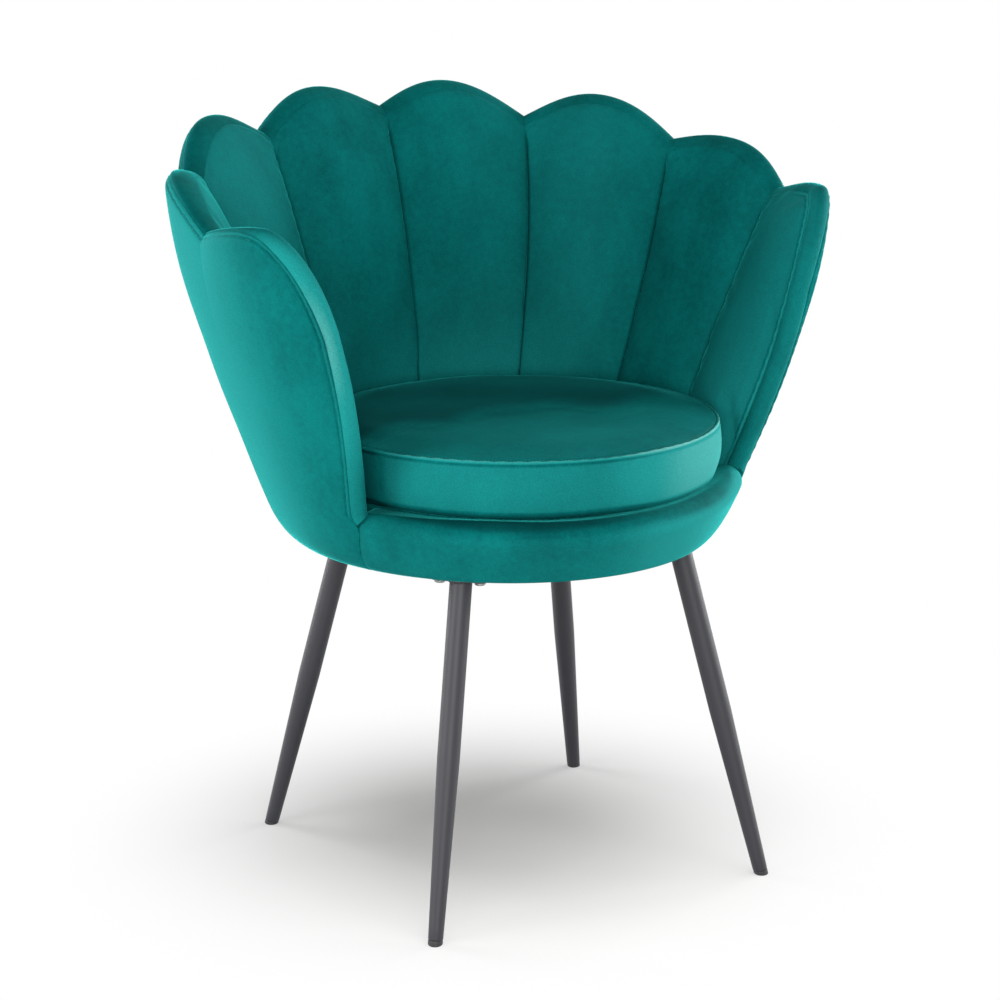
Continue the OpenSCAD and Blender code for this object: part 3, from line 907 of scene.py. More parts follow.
@dataclass(frozen=True)
class Foam(Finish):
    """Open-cell foam: pale cream with small dark cells, painted shade in the pores."""

    slot: str = "foam"

    def paint(self, board: Board) -> bpy.types.Material:
        """Builds the nodes.

        Args:
            board: an empty board.

        Returns:
            The material.
        """
        cells = board.add("ShaderNodeTexVoronoi", None, {"Vector": board.place(), "Scale": 700.0})
        age = board.noise(9.0, 3.0)
        colour = board.blend(age, (0.74, 0.67, 0.44), (0.84, 0.79, 0.58))
        # Painted shade in the pores: darker round each cell's middle, where the bump sinks.
        colour = board.blend(cells.between(0.2, 0.5), (0.5, 0.43, 0.26), colour)
        return board.shade({"Base Color": colour, "Roughness": 0.95, "Normal": board.bump(cells, 0.5 * MM, 0.6)})


VELVET, THREAD, COAT, PLASTIC = Velvet(), Thread(), PowderCoat(), Moulding()
# The seat's velvet: the same velvet with half the sheen, a shaded copy that makes the seat darker.
SHADED_SEAT_VELVET = Velvet(sheen_weight=0.3)
ZINC, CLOTH, PLY, WEBBING, FOAM = Metal(), NonWoven(), Ply(), Webbing(), Foam()
STEEL = Metal("frame_steel", (0.03, 0.03, 0.034), (0.07, 0.07, 0.075), 0.0, 0.45)
BY_SLOT: dict[str, Finish] = {f.slot: f for f in (VELVET, COAT, PLASTIC, ZINC, CLOTH, PLY, WEBBING, STEEL, FOAM)}


# Cloth


@dataclass(frozen=True)
class Inflation:
    """How a skin is blown up: by air pressure in a cloth run without gravity, from frame 1 to 20."""

    pressure: float
    slack: float
    cap: float
    stiffness: float = 12.0
    bending: float = 0.4
    mass: float = 0.3
    quality: int = 5
    frames: int = 20

    def swell(self, points: np.ndarray, faces: Sequence[np.ndarray], held: np.ndarray) -> np.ndarray:
        """Blows up a skin whose held points stay where they are.

        Args:
            points: points of the skin, with its faces pointing outwards.
            faces: arrays of point numbers.
            held: for each point, whether it is sewn down.

        Returns:
            How far each point moved, at most cap.
        """
        shape = Shape()
        shape.points, shape.faces = [points], list(faces)
        obj = shape.mesh("cloth_run")
        group = obj.vertex_groups.new(name="sewn")
        group.add(np.flatnonzero(held).tolist(), 1.0, "REPLACE")
        run = obj.modifiers.new("cloth", "CLOTH")
        run.settings.quality = self.quality
        run.settings.mass = self.mass
        run.settings.tension_stiffness = run.settings.compression_stiffness = self.stiffness
        run.settings.shear_stiffness = self.stiffness / 2
        run.settings.bending_stiffness = self.bending
        run.settings.vertex_group_mass = "sewn"
        run.settings.shrink_min = -self.slack
        run.settings.use_pressure = True
        run.settings.uniform_pressure_force = self.pressure
        run.settings.effector_weights.gravity = 0.0
        run.collision_settings.use_collision = False
        run.point_cache.frame_start, run.point_cache.frame_end = 1, self.frames
        for number in range(1, self.frames + 1):
            bpy.context.scene.frame_set(number)
        done = obj.evaluated_get(bpy.context.evaluated_depsgraph_get()).to_mesh()
        moved = np.zeros(len(points) * 3, np.float32)
        done.vertices.foreach_get("co", moved)
        mesh = obj.data
        bpy.data.objects.remove(obj)
        bpy.data.meshes.remove(mesh)
        bpy.context.scene.frame_set(1)
        shift = moved.reshape(-1, 3).astype(float) - points
        length = np.linalg.norm(shift, axis=1, keepdims=True)
        return shift * np.minimum(1, self.cap / np.maximum(length, 1e-9))


# The tub's curved wall


@dataclass(frozen=True)
class Tub:
    """The tub's wall in formulas, the same as the construction's.

    Heights are over the underside and y is from the middle of the seat; placed() moves points into
    the part's frame. The petal coordinate u runs from -4 at the left front edge, over 0 at the middle
    seam, to 4, and g insets the outline from the rim and the front edges.
    """

    shift: tuple[float, float]
    deck_h: float
    cushion_y: float
    well_r: float
    base_r: float = 0.206
    turn_h: float = 0.042
    low_h: float = 0.062
    high_h: float = 0.362
    wide: tuple[float, float, float] = (0.264, 0.370, 0.015)
    behind: tuple[float, float, float] = (0.247, 0.303, 0.006)
    before: tuple[float, float, float] = (0.224, 0.302, 0.040)
    curl_h: float = 0.230
    curl_rise: float = 0.100
    curl_in: float = 0.007
    axis_y: float = 0.006
    seams: tuple[float, float, float, float] = (0.0, 28.4, 59.4, 91.3)
    valleys: tuple[float, float, float, float] = (0.422, 0.406, 0.384, 0.344)
    arches: tuple[float, float, float] = (0.0325, 0.0345, 0.023)
    peak_h: float = 0.358
    peak_at: float = 0.62
    nose_h: float = 0.262
    nose_y: float = 0.150
    toe_y: float = 0.107
    rim_t: float = 0.025
    body_t: float = 0.045
    body_fade: float = 0.080
    front_fade: float = 0.045
    band_h: float = 0.009
    puff_in: float = 0.012
    draw_in: float = 0.007
    draw_fade: float = 0.045
    channel_fade: float = 0.030
    channel_power: float = 2.6
    gap: float = 0.0003
    front_arc: float = 0.150
    petal_width: float = 0.125
    crest_h: float = 0.016
    crest_join: float = 0.003
    front_rise: float = 0.018
    roll: float = 0.017
    foot_lean: float = 0.0225
    foot_way: float = 0.05
    well_soft: float = 0.004
    least_step: float = 0.001

    @property
    def lean_h(self) -> float:
        """Returns the height at which the front edges start to lean forwards."""
        return self.deck_h + self.least_step

    def placed(self, points: np.ndarray) -> np.ndarray:
        """Returns points moved into the part's frame."""
        return points + np.array([0.0, *self.shift])

    def _bowed(self, ends: tuple[float, float, float], z: np.ndarray) -> np.ndarray:
        """A width that goes from the first to the second with the share s of the way, plus bow s (1 - s)."""
        s = (z - self.low_h) / (self.high_h - self.low_h)
        return mix(ends[0], ends[1], s) + ends[2] * s * (1 - s)

    def turn(self, z: np.ndarray) -> np.ndarray:
        """Returns the share of the bottom rounding: the root of z over its height, at most 1."""
        return np.sqrt(np.clip(z / self.turn_h, 0, 1))

    def halves(self, z: np.ndarray) -> tuple[np.ndarray, np.ndarray, np.ndarray, np.ndarray]:
        """Half width, depth behind and before the wall's axis, and the axis.

        Above the bottom rounding they are bowed lines; below it each is the quadratic curve
        (1-t)^2 a + 2t(1-t) b + t^2 c, from the flat underside to the wall.

        Args:
            z: heights.

        Returns:
            The four lengths at each height.
        """
        t, low = self.turn(z), z < self.turn_h
        found = []
        for ends, curls in ((self.wide, 1), (self.behind, 0), (self.before, 0)):
            over = [self._bowed(ends, np.asarray(h, float)) for h in (0.0, self.turn_h, z)]
            over[2] = over[2] - curls * self.curl_in * (np.maximum(z - self.curl_h, 0) / self.curl_rise) ** 2
            bent = (1 - t) ** 2 * self.base_r + 2 * t * (1 - t) * over[0] + t**2 * over[1]
            found.append(np.where(low, bent, over[2]))
        axis = np.where(low, (2 * t * (1 - t) + t**2) * self.axis_y, self.axis_y)
        return found[0], found[1], found[2], axis

    def normal(self, a: np.ndarray, z: np.ndarray) -> np.ndarray:
        """The level normal of the wall: (sin a / half width, cos a / half depth, 0), made a unit.

        Args:
            a: turns from the back, in radians.
            z: heights.

        Returns:
            The vectors, pointing out of the tub.
        """
        w, b, f, _ = self.halves(z)
        depth = np.where(np.cos(a) >= 0, b, f)
        return unit(np.stack([np.sin(a) / w, np.cos(a) / depth, 0 * a * z], -1))

    def wall(self, a: np.ndarray, z: np.ndarray, t: np.ndarray, lean: float = 0.0) -> np.ndarray:
        """Points at a depth under the wall's outer face.

        The outer face is (half width sin a, axis + half depth cos a, z). The depth is level, and swings
        upright towards the underside where lean is 1.

        Args:
            a: turns from the back, in radians.
            z: heights.
            t: depths.
            lean: 1 for the outer cover, otherwise 0.

        Returns:
            The points.
        """
        w, b, f, axis = self.halves(z)
        depth = np.where(np.cos(a) >= 0, b, f)
        n = self.normal(a, z)
        tip = lean * QUARTER * (1 - self.turn(z))
        inwards = t * np.cos(tip)
        x, y = w * np.sin(a) - inwards * n[..., 0], axis + depth * np.cos(a) - inwards * n[..., 1]
        return np.stack([x, y, z + t * np.sin(tip)], -1)

    def rim(self, u: np.ndarray) -> np.ndarray:
        """Height of the rim.

        Behind, it is the valleys' line plus an arch times |sin pi u|. On the front petals it rises as a
        quarter sine to the peak, then falls as a quarter ellipse to the nose.

        Args:
            u: petal coordinates.

        Returns:
            The heights.
        """
        a = np.abs(u)
        arch = np.asarray(self.arches)[np.clip(a.astype(int), 0, 2)]
        back = np.interp(a, range(4), self.valleys) + arch * np.abs(np.sin(math.pi * a))
        rear = mix(self.valleys[3], self.peak_h, np.sin(QUARTER * np.clip((a - 3) / self.peak_at, 0, 1)))
        q = np.clip((a - 3 - self.peak_at) / (1 - self.peak_at), 0, 1)
        front = mix(self.nose_h, self.peak_h, np.sqrt(1 - q * q))
        return np.where(a <= 3, back, np.where(a <= 3 + self.peak_at, rear, front))

    def front_y(self, z: np.ndarray) -> np.ndarray:
        """How far forward the front edge is.

        It leans forward as a quarter sine from the toe to the nose, and back in a straight line from
        the rail's roll down to the underside.

        Args:
            z: heights.

        Returns:
            The lengths from the middle of the seat.
        """
        rise = np.sin(QUARTER * np.clip((z - self.lean_h) / (self.nose_h - self.lean_h), 0, 1))
        return mix(self.toe_y, self.nose_y, rise) - self.foot_lean * np.clip(1 - z / (self.deck_h - self.roll), 0, 1)

    def petal_turn(self, u: np.ndarray, z: np.ndarray, g: float) -> np.ndarray:
        """Turn from the back of a petal coordinate, in radians.

        Up to 3 it goes from seam to seam; beyond, on to the front edge at that height.

        Args:
            u: petal coordinates.
            z: heights.
            g: inset.

        Returns:
            The turns.
        """
        a = np.abs(u)
        _, _, f, axis = self.halves(z)
        edge = np.arccos(np.clip((g - self.front_y(z) - axis) / f, -1, 1))
        seams = np.radians(np.interp(a, range(4), self.seams))
        return np.sign(u) * np.where(a <= 3, seams, mix(math.radians(self.seams[3]), edge, a - 3))

    def grown(self, u: np.ndarray, z: np.ndarray, fade: float, side: float) -> np.ndarray:
        """Growth of the padding: (1 - e^(-depth below the rim / fade)) (1 - e^(-way behind the edge / side)).

        Args:
            u: petal coordinates.
            z: heights.
            fade: fade below the rim.
            side: fade behind the front edge.

        Returns:
            Shares from 0 to 1.
        """
        below = np.maximum(self.rim(u) - z, 0)
        behind = (4 - np.abs(u)) * self.front_arc
        return (1 - np.exp(-below / fade)) * (1 - np.exp(-behind / side))

    def layer(self, u: np.ndarray, z: np.ndarray, g: float, t: np.ndarray, lean: float = 0.0) -> np.ndarray:
        """Points at depth t under the outer face of a petal, which is drawn in at the seams near the rim.

        Args:
            u: petal coordinates.
            z: heights.
            g: inset.
            t: depths.
            lean: as in wall().

        Returns:
            The points.
        """
        below = np.maximum(self.rim(u) - z, 0)
        drawn = self.draw_in * (1 - np.abs(np.sin(math.pi * u))) * np.exp(-below / self.draw_fade)
        return self.wall(self.petal_turn(u, z, g), z, t + drawn, lean)

    def depth(self, u: np.ndarray, z: np.ndarray) -> np.ndarray:
        """Depth of the inner face: rim thickness, plus the body's growth, plus the channel's swell.

        The swell is puff (1 - |2 share of the petal - 1|^power), and grows away from the rim.

        Args:
            u: petal coordinates.
            z: heights.

        Returns:
            The depths.
        """
        a = np.minimum(np.abs(u), 3.999)
        channel = 1 - np.abs(2 * (a - np.floor(a)) - 1) ** self.channel_power
        swell = self.puff_in * channel * self.grown(u, z, self.channel_fade, self.channel_fade)
        return self.rim_t + self.body_t * self.grown(u, z, self.body_fade, self.front_fade) + swell

    def clear_of_well(self, p: np.ndarray) -> np.ndarray:
        """Points moved out of the upright well that the cushion lifts through.

        A distance r from the well's axis becomes (r + R + root((r - R)^2 + soft^2)) / 2.

        Args:
            p: points.

        Returns:
            The points outside.
        """
        x, y = p[..., 0], p[..., 1] - self.cushion_y
        r = np.maximum(np.hypot(x, y), 1e-9)
        k = (r + self.well_r + np.sqrt((r - self.well_r) ** 2 + self.well_soft**2)) / 2 / r
        return np.stack([x * k, self.cushion_y + y * k, p[..., 2]], -1)

    def inset_at(self, u: np.ndarray, z: np.ndarray) -> np.ndarray:
        """Returns how far a place is from the outline: below the rim, or behind the front edge if nearer."""
        return np.minimum(np.maximum(self.rim(u) - z, 0), self.band_h + (4 - np.abs(u)) * self.front_arc)

    def crest(self, h: np.ndarray) -> np.ndarray:
        """Returns the crest's half thickness at inset h: half the rim's times root(1 - (1 - h / crest height)^2)."""
        return self.rim_t / 2 * np.sqrt(1 - (1 - np.clip(h / self.crest_h, 0, 1)) ** 2)

    def join(self, side: Side, u: np.ndarray) -> np.ndarray:
        """Inset of the band's join from the outline.

        Inside it is the band's height. Outside it lies on the crest behind, and comes down to the band's
        height along the fronts of the arms.

        Args:
            side: face of the wall.
            u: petal coordinates.

        Returns:
            The insets.
        """
        down = eased((np.abs(u) - 3.45) / 0.4) if side is Side.OUTER else 1.0
        return mix(self.crest_join, self.band_h, down) + 0 * u

    def front_share(self, u: np.ndarray) -> np.ndarray:
        """Returns 0 on the back petals and 1 on the fronts of the arms, where the join shows inside too."""
        return eased((np.abs(u) - 3.35) / 0.3)

    def rounding(self, u: np.ndarray, z: np.ndarray) -> np.ndarray:
        """Returns how far the crest's rounding takes the outer face in."""
        return self.rim_t / 2 - self.crest(self.inset_at(u, z))

    def inner_depth(self, u: np.ndarray, z: np.ndarray) -> np.ndarray:
        """Depth of the inner face, with a crest that rolls over into it.

        The crest's ellipse goes on until it is upright, with the padding's growth added to it. On the
        fronts of the arms the growth starts at the band, with a smooth step.

        Args:
            u: petal coordinates.
            z: heights.

        Returns:
            The depths.
        """
        h = self.inset_at(u, z)
        share = mix(1.0, eased((h - self.band_h) / self.front_rise), self.front_share(u))
        return self.rim_t / 2 + self.crest(h) + (self.depth(u, z) - self.rim_t) * share

    def inner(self, u: np.ndarray, z: np.ndarray, g: float, drawn: np.ndarray | float = 0.0) -> np.ndarray:
        """Returns points of the inner face, at petal coordinates, heights, an inset and how far it is drawn in."""
        return self.clear_of_well(self.layer(u, z, g, self.inner_depth(u, z) - drawn))

    def foot_drop(self, cap: np.ndarray, depth: np.ndarray) -> np.ndarray:
        """How far the band's foot comes down at a depth, to stand on the rail's rolled top.

        The roll is a quarter circle: roll - root(roll^2 - (roll - depth)^2).

        Args:
            cap: heights of the band's sections, as track() gives them.
            depth: depths under the outer face.

        Returns:
            The drops, which fade out above the foot.
        """
        beside = self.roll - np.clip(depth, 0, self.roll)
        share = eased((self.lean_h + self.foot_way - cap) / self.foot_way)
        return share * (self.roll - np.sqrt(self.roll**2 - beside**2) + self.least_step)

    def columns(self, k: int, n: int) -> np.ndarray:
        """Petal coordinates of a petal's columns, closer at its seams and round the nose.

        Args:
            k: petal, from 0 at the back to 3 at the front.
            n: number of steps.

        Returns:
            The coordinates from k to k + 1.
        """
        if k < 3:
            return k + close_ends(n, 0.86)
        rear = close_top(n * 2 // 3, -0.6)
        front = np.sin(QUARTER * np.linspace(0, 1, n * 3 // 4 + 1))[1:]
        return np.concatenate([3 + self.peak_at * rear, 3 + self.peak_at + (1 - self.peak_at) * front])

    def heights(self, u: np.ndarray, n: int, g: np.ndarray | float) -> np.ndarray:
        """Heights of the rows over the seat's level, closer towards the rim.

        Args:
            u: petal coordinates of the columns.
            n: number of steps.
            g: inset of the last row from the rim.

        Returns:
            One row of heights for each column.
        """
        return mix(self.lean_h, (self.rim(u) - g)[:, None], close_top(n, 0.72)[None, :])

    def track(self, n: int) -> tuple[np.ndarray, np.ndarray]:
        """The way along the rim and down both front edges.

        Args:
            n: steps of one petal.

        Returns:
            Petal coordinates, and the height that the track may not pass, which is the rim's own until
            the nose and then falls to the foot of the front edge.
        """
        over = np.concatenate([[0.0], *[self.columns(k, n)[1:] for k in range(4)]])
        falls = np.linspace(self.nose_h, self.lean_h, n + 1)[1:]
        u = np.concatenate([over, np.full(len(falls), 4.0)])
        cap = np.concatenate([np.full(len(over), 1.0), falls])
        return np.concatenate([-u[:0:-1], u]), np.concatenate([cap[:0:-1], cap])

    def sewn_line(
        self, side: Side, beyond: float, n: int, sunk: float = 0.0, part: tuple[float, float] = (-4.0, 4.0)
    ) -> SewnLine:
        """The line on a face of the wall that runs beside the band's join.

        Args:
            side: face of the wall.
            beyond: distance beyond the join.
            n: steps of one petal.
            sunk: how deep the line lies under that face.
            part: petal coordinates between which the line is kept.

        Returns:
            The line, placed.
        """
        u, cap = self.track(n)
        kept = (u >= part[0]) & (u <= part[1])
        u, cap = u[kept], cap[kept]
        inset = self.join(side, u) + beyond
        z = np.minimum(self.rim(u) - inset, cap)
        if side is Side.OUTER:
            points = self.layer(u, z, inset, self.rounding(u, z) + sunk)
        else:
            points = self.inner(u, z, inset, sunk)
        out = self.normal(self.petal_turn(u, z, inset), z) * side.value
        return SewnLine(self.placed(points), out)


@dataclass
class Upholstery:
    """The tub's padded skin: outer cover, edge band and the eight channels, with their sewing."""

    tub: Tub
    petal_steps: int = 48
    wall_steps: int = 84
    turn_steps: int = 16
    cover_t: float = 0.01235
    cavity: float = 0.014
    cavity_fade: float = 0.025
    seam_depth: float = 0.0022
    seam_width: float = 0.0017
    topstitch_at: float = 0.005
    groove: float = 0.0014
    groove_width: float = 0.0009
    pitch: float = 0.0042
    pull: float = 0.0006
    pull_pitch: float = 0.013
    sewing_reach: float = 0.05
    nap_line: float = 0.0012
    crest_parts: tuple[float, float] = (3.04, 3.42)
    join_gap: float = 0.00002
    crease: float = 0.0032
    crease_width: float = 0.0046
    slit: float = 0.0036
    slit_width: float = 0.0009
    # Painted light and shade of each channel, from the left front to the right front: over the whole height, and
    # added low down.
    brushed: tuple[float, ...] = (0.2, 0.22, 0.2, 0.0, 0.09, 0.17, -0.02, 0.2)
    brushed_low: tuple[float, ...] = (0.05, 0.1, 0.1, 0.24, 0.26, 0.1, 0.0, 0.14)
    pad_air: Inflation = field(default_factory=lambda: Inflation(1.6, 0.003, 0.003))

    def sewing(self, line: SewnLine, points: np.ndarray, amount: np.ndarray | float = 1.0) -> np.ndarray:
        """How far the cloth is drawn in beside a join with a topstitched seam allowance.

        The sum of a bell at the join, a bell at the topstitching that deepens at each stitch, and small
        gathers, cosines along the seam that fade out away from it.

        Args:
            line: the join.
            points: grid of points, placed.
            amount: how strong the topstitching and the gathers are.

        Returns:
            The depths.
        """
        reach = self.sewing_reach
        far, along = line.near(points, reach)
        stitch = 0.75 + 0.25 * np.cos(TAU * along / self.pitch)
        top = self.groove * bump_at(far - self.topstitch_at, self.groove_width) * stitch
        swing = along / self.pull_pitch + 0.35 * np.sin(along * 31.0)
        gather = self.pull * np.cos(TAU * swing) * np.exp(-far / 0.009) * eased(far / 0.003)
        seam = self.seam_depth * bump_at(far, self.seam_width)
        return seam + amount * (top + gather * eased((reach - far) / reach))

    def shown(self, u: np.ndarray) -> np.ndarray:
        """Returns how much of the outer seam shows: little where it turns over the rear of the arms' crests."""
        return 1 - 0.85 * bump_at(np.abs(u) - 3.22, 0.17)

    def sewn_nap(self, far: np.ndarray) -> np.ndarray:
        """Returns the painted light and shade beside a join: painted shade in it and at the topstitching, a painted
        highlight on the ridge between.
        """
        lines = bump_at(far, self.nap_line) + 0.8 * bump_at(far - self.topstitch_at - 0.0003, 0.0011)
        return 0.16 * bump_at(far - self.topstitch_at / 2, self.nap_line) - 0.3 * lines

    def cover(self) -> None:
        """Makes the outer cover, from the underside round the bottom turn up to the band."""
        tub = self.tub
        half = np.concatenate([[0.0], *[tub.columns(k, self.petal_steps)[1:] for k in range(4)]])
        u = np.concatenate([-half[:0:-1], half])
        low = tub.turn_h * np.linspace(0, 1, self.turn_steps + 1) ** 2
        between = np.linspace(tub.turn_h, tub.lean_h, 6)[1:-1]
        g = tub.join(Side.OUTER, u) + self.join_gap
        foot = np.broadcast_to(np.concatenate([low, between]), (len(u), len(low) + 4))
        z = np.concatenate([foot, tub.heights(u, self.wall_steps, g)], 1)
        u, g = u[:, None] + 0 * z, g[:, None]
        plain = tub.layer(u, z, g, tub.rounding(u, z), 1.0)
        join = tub.sewn_line(Side.OUTER, 0.0, 200)
        sewn = self.sewing(join, tub.placed(plain), np.clip(np.abs(u) - 1.2, 0.45, 1.0)) * self.shown(u)
        pressed = tub.rounding(u, z) + sewn
        pressed += 0.0009 * waves(plain, 0.16, 4) * eased(z / 0.06)
        outside = tub.layer(u, z, g, pressed, 1.0)
        inside = tub.layer(u, z, g, 0 * z + self.cover_t, 1.0)
        shape = Shape().slab(tub.placed(outside), tub.placed(inside))
        far, _ = join.near(tub.placed(plain), self.sewing_reach)
        # Painted light and shade: a slight lift overall, a painted highlight round the sides of the arms, and the
        # seam's painted shade and highlight beside the join.
        nap = 0.06 + 0.32 * bump_at(np.abs(u) - 2.9, 0.55) + self.sewn_nap(far) * self.shown(u)
        piece(shape, "outer_cover_velvet", VELVET, Body.CHAIR, ["outer_cover"], nap)

    def band(self) -> None:
        """Makes the edge band: across it, inset = crest height (1 - sin a), depth = half the rim (1 - cos a)."""
        tub = self.tub
        u, cap = tub.track(self.petal_steps * 2)
        u = u[:, None]
        insets = [tub.join(side, u) for side in Side]
        start, end = (np.arcsin(1 - inset / tub.crest_h) for inset in insets)
        a = mix(start, math.pi - end, np.linspace(0, 1, 29)[None, :])
        under = np.concatenate(insets[::-1], 1)
        inset = np.concatenate([tub.crest_h * (1 - np.sin(a)), under], 1)
        depth = np.concatenate([tub.rim_t / 2 * (1 - np.cos(a)), 0 * under + tub.rim_t / 2], 1)
        z = np.minimum(tub.rim(u) - inset, cap[:, None])
        grown = tub.inner_depth(u + 0 * z, z) - tub.rim_t / 2 - tub.crest(tub.inset_at(u, z))
        inwards = np.concatenate([a > QUARTER, [[True, False]] + 0 * u], 1)
        depth = depth + grown * inwards
        z = z - tub.foot_drop(cap[:, None], depth)
        points = tub.layer(u + 0 * z, z, inset, depth)
        over = np.minimum(tub.rim(u) - tub.crest_h, cap[:, None])
        half = tub.rim_t / 2 + 0 * over
        middle = tub.layer(u, over - tub.foot_drop(cap[:, None], half), tub.crest_h, half)
        across = np.minimum(a - start, math.pi - end - a) * tub.rim_t / 2
        shown = np.where(a < QUARTER, self.shown(u), tub.front_share(u))
        lump = 0.0005 * waves(points[:, :-2], 0.09, 9) * eased(across / 0.006)
        lump = lump - self.seam_depth / 2 * shown * bump_at(across, self.seam_width)
        points[:, :-2] += unit(points[:, :-2] - middle) * lump[..., None]
        rings = tub.placed(points)
        # Painted highlight on the fronts of the arms, strongest near the top of the left arm's front on its outer
        # side.
        outer = np.concatenate([eased((2.2 - a) / 1.6), 0 * under], 1)
        brushed = np.where(u < 0, 0.18 + 0.55 * bump_at(z - 0.25, 0.1) * outer, 0.16)
        nap = brushed * eased((np.abs(u) - 3.5) / 0.35)
        piece(Shape().rings(rings), "edge_band_velvet", VELVET, Body.CHAIR, ["edge_band"], with_ends(nap))

    def pad_grid(self, number: int, columns: int, rows: int) -> tuple[np.ndarray, np.ndarray]:
        """Petal coordinates and heights of a channel's grid.

        Args:
            number: channel, from 1 at the left front to 8 at the right front.
            columns: steps across it.
            rows: steps up it.

        Returns:
            The two grids.
        """
        tub = self.tub
        k = 4 - number if number <= 4 else number - 5
        inset = self.join_gap / tub.petal_width
        u = np.clip(tub.columns(k, columns), k + inset, k + 1 - (inset if k < 3 else 0))
        if number <= 4:
            u = -u[::-1]
        foot = np.linspace(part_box("channel_pad_1")[0].z - tub.shift[1], tub.lean_h, 5)[:-1]
        over = tub.heights(u, rows, tub.band_h + self.join_gap)
        z = np.concatenate([np.broadcast_to(foot, (len(u), 4)), over], 1)
        return u[:, None] + 0 * z, z

    def blown(self, number: int) -> np.ndarray:
        """Runs the cloth of one channel on a coarse grid, sewn down along its edges.

        Args:
            number: channel.
        """
        tub = self.tub
        u, z = self.pad_grid(number, 18, 44)
        points = tub.inner(u, z, tub.band_h)
        held = np.zeros(u.shape, bool)
        held[[0, -1]] = held[:, :5] = held[:, -1:] = True
        quads = grid_quads(*u.shape)
        middle = points[len(u) // 2, u.shape[1] // 2]
        spot = np.ravel_multi_index((len(u) // 2, u.shape[1] // 2), u.shape)
        f = quads[np.flatnonzero(quads[:, 0] == spot)[0]]
        flat = points.reshape(-1, 3)
        way = np.cross(flat[f[1]] - flat[f[0]], flat[f[2]] - flat[f[0]])
        if way @ (np.array([0.0, tub.cushion_y, middle[2]]) - middle) < 0:
            quads = quads[:, ::-1]
        return self.pad_air.swell(flat, [quads], held.ravel()).reshape(points.shape)

    def channel(self, number: int, join: SewnLine) -> None:
        """Makes one channel pad: the inner face, with a crease at each seam, over its plain back.

        Args:
            number: channel.
            join: the band's inner join.
        """
        tub = self.tub
        u, z = self.pad_grid(number, self.petal_steps, self.wall_steps)
        a, g = np.abs(u), tub.band_h + self.join_gap
        plain = tub.inner(u, z, g)
        near = np.abs(a - np.round(a)) * tub.petal_width
        near = np.where(np.round(a) > 3.5, 1.0, near)
        below = np.maximum(tub.rim(u) - g - z, 0)
        crease = self.crease * np.exp(-near / self.crease_width) + self.slit * bump_at(near, self.slit_width)
        drawn = crease * (0.1 + 0.9 * eased(below / 0.03))
        tugs = 0.0003 * np.cos(TAU * (z / 0.012 + 0.4 * np.sin(z * 47 + number))) * np.exp(-near / 0.007)
        drawn = drawn + tugs * eased(near / 0.002)
        sewn = tub.front_share(u) * self.sewing(join, tub.placed(plain))
        ripple = 0.0012 * waves(plain, 0.13, 20 + number) * eased(near / 0.02) * eased(below / 0.03)
        shift = stretched(self.blown(number), u.shape)
        out = tub.normal(tub.petal_turn(u, z, g), z)
        face = tub.clear_of_well(tub.inner(u, z, g, -ripple) + shift) + out * (drawn + sewn)[..., None]
        depth = self.cover_t + tub.gap + self.cavity * tub.grown(u, z, self.cavity_fade, self.cavity_fade)
        shape = Shape().slab(tub.placed(face), tub.placed(tub.layer(u, z, g, depth)))
        name = f"channel_pad_{number}"
        # Painted light and shade: each channel's own, more low down, the seam's painted shade and highlight on the
        # arms' fronts, and painted shade along the channel seams.
        low = 1 - eased((z - tub.lean_h) / 0.22)
        far, _ = join.near(tub.placed(plain), self.sewing_reach)
        nap = self.nap_at(u, self.brushed) + self.nap_at(u, self.brushed_low) * low
        nap = nap + self.sewn_nap(far) * tub.front_share(u) - 0.3 * bump_at(near, self.nap_line) * eased(below / 0.03)
        piece(shape, name + "_velvet", VELVET, Body.CHAIR, [name], nap)

    def nap_at(self, u: np.ndarray, channels: tuple[float, ...]) -> np.ndarray:
        """Returns the painted light and shade at petal coordinates, straight from the middle of one channel to the
        next.
        """
        return np.interp(u, np.arange(8) - 3.5, channels)

    def stitches(self) -> None:
        """Makes the threads of the topstitching: all along the outside, and inside on the arms' fronts."""
        shape = Shape()
        low, high = self.crest_parts
        outside = ((-4.0, -high), (-low, low), (high, 4.0))
        parts = [(Side.OUTER, part) for part in outside] + [(Side.INNER, (-4.0, -3.5)), (Side.INNER, (3.5, 4.0))]
        for side, part in parts:
            line = self.tub.sewn_line(side, self.topstitch_at, 120, self.groove * 0.6, part)
            threads = line.stitches(0.0031, 0.00045, self.pitch)
            shape.repeat(threads, np.zeros((1, 3)), np.eye(3)[None])
        piece(shape, "band_topstitching", THREAD, Body.CHAIR)

    def build(self) -> None:
        """Makes the whole skin of the tub."""
        self.cover()
        self.band()
        join = self.tub.sewn_line(Side.INNER, 0.0, 200)
        for number in range(1, 9):
            self.channel(number, join)
        self.stitches()


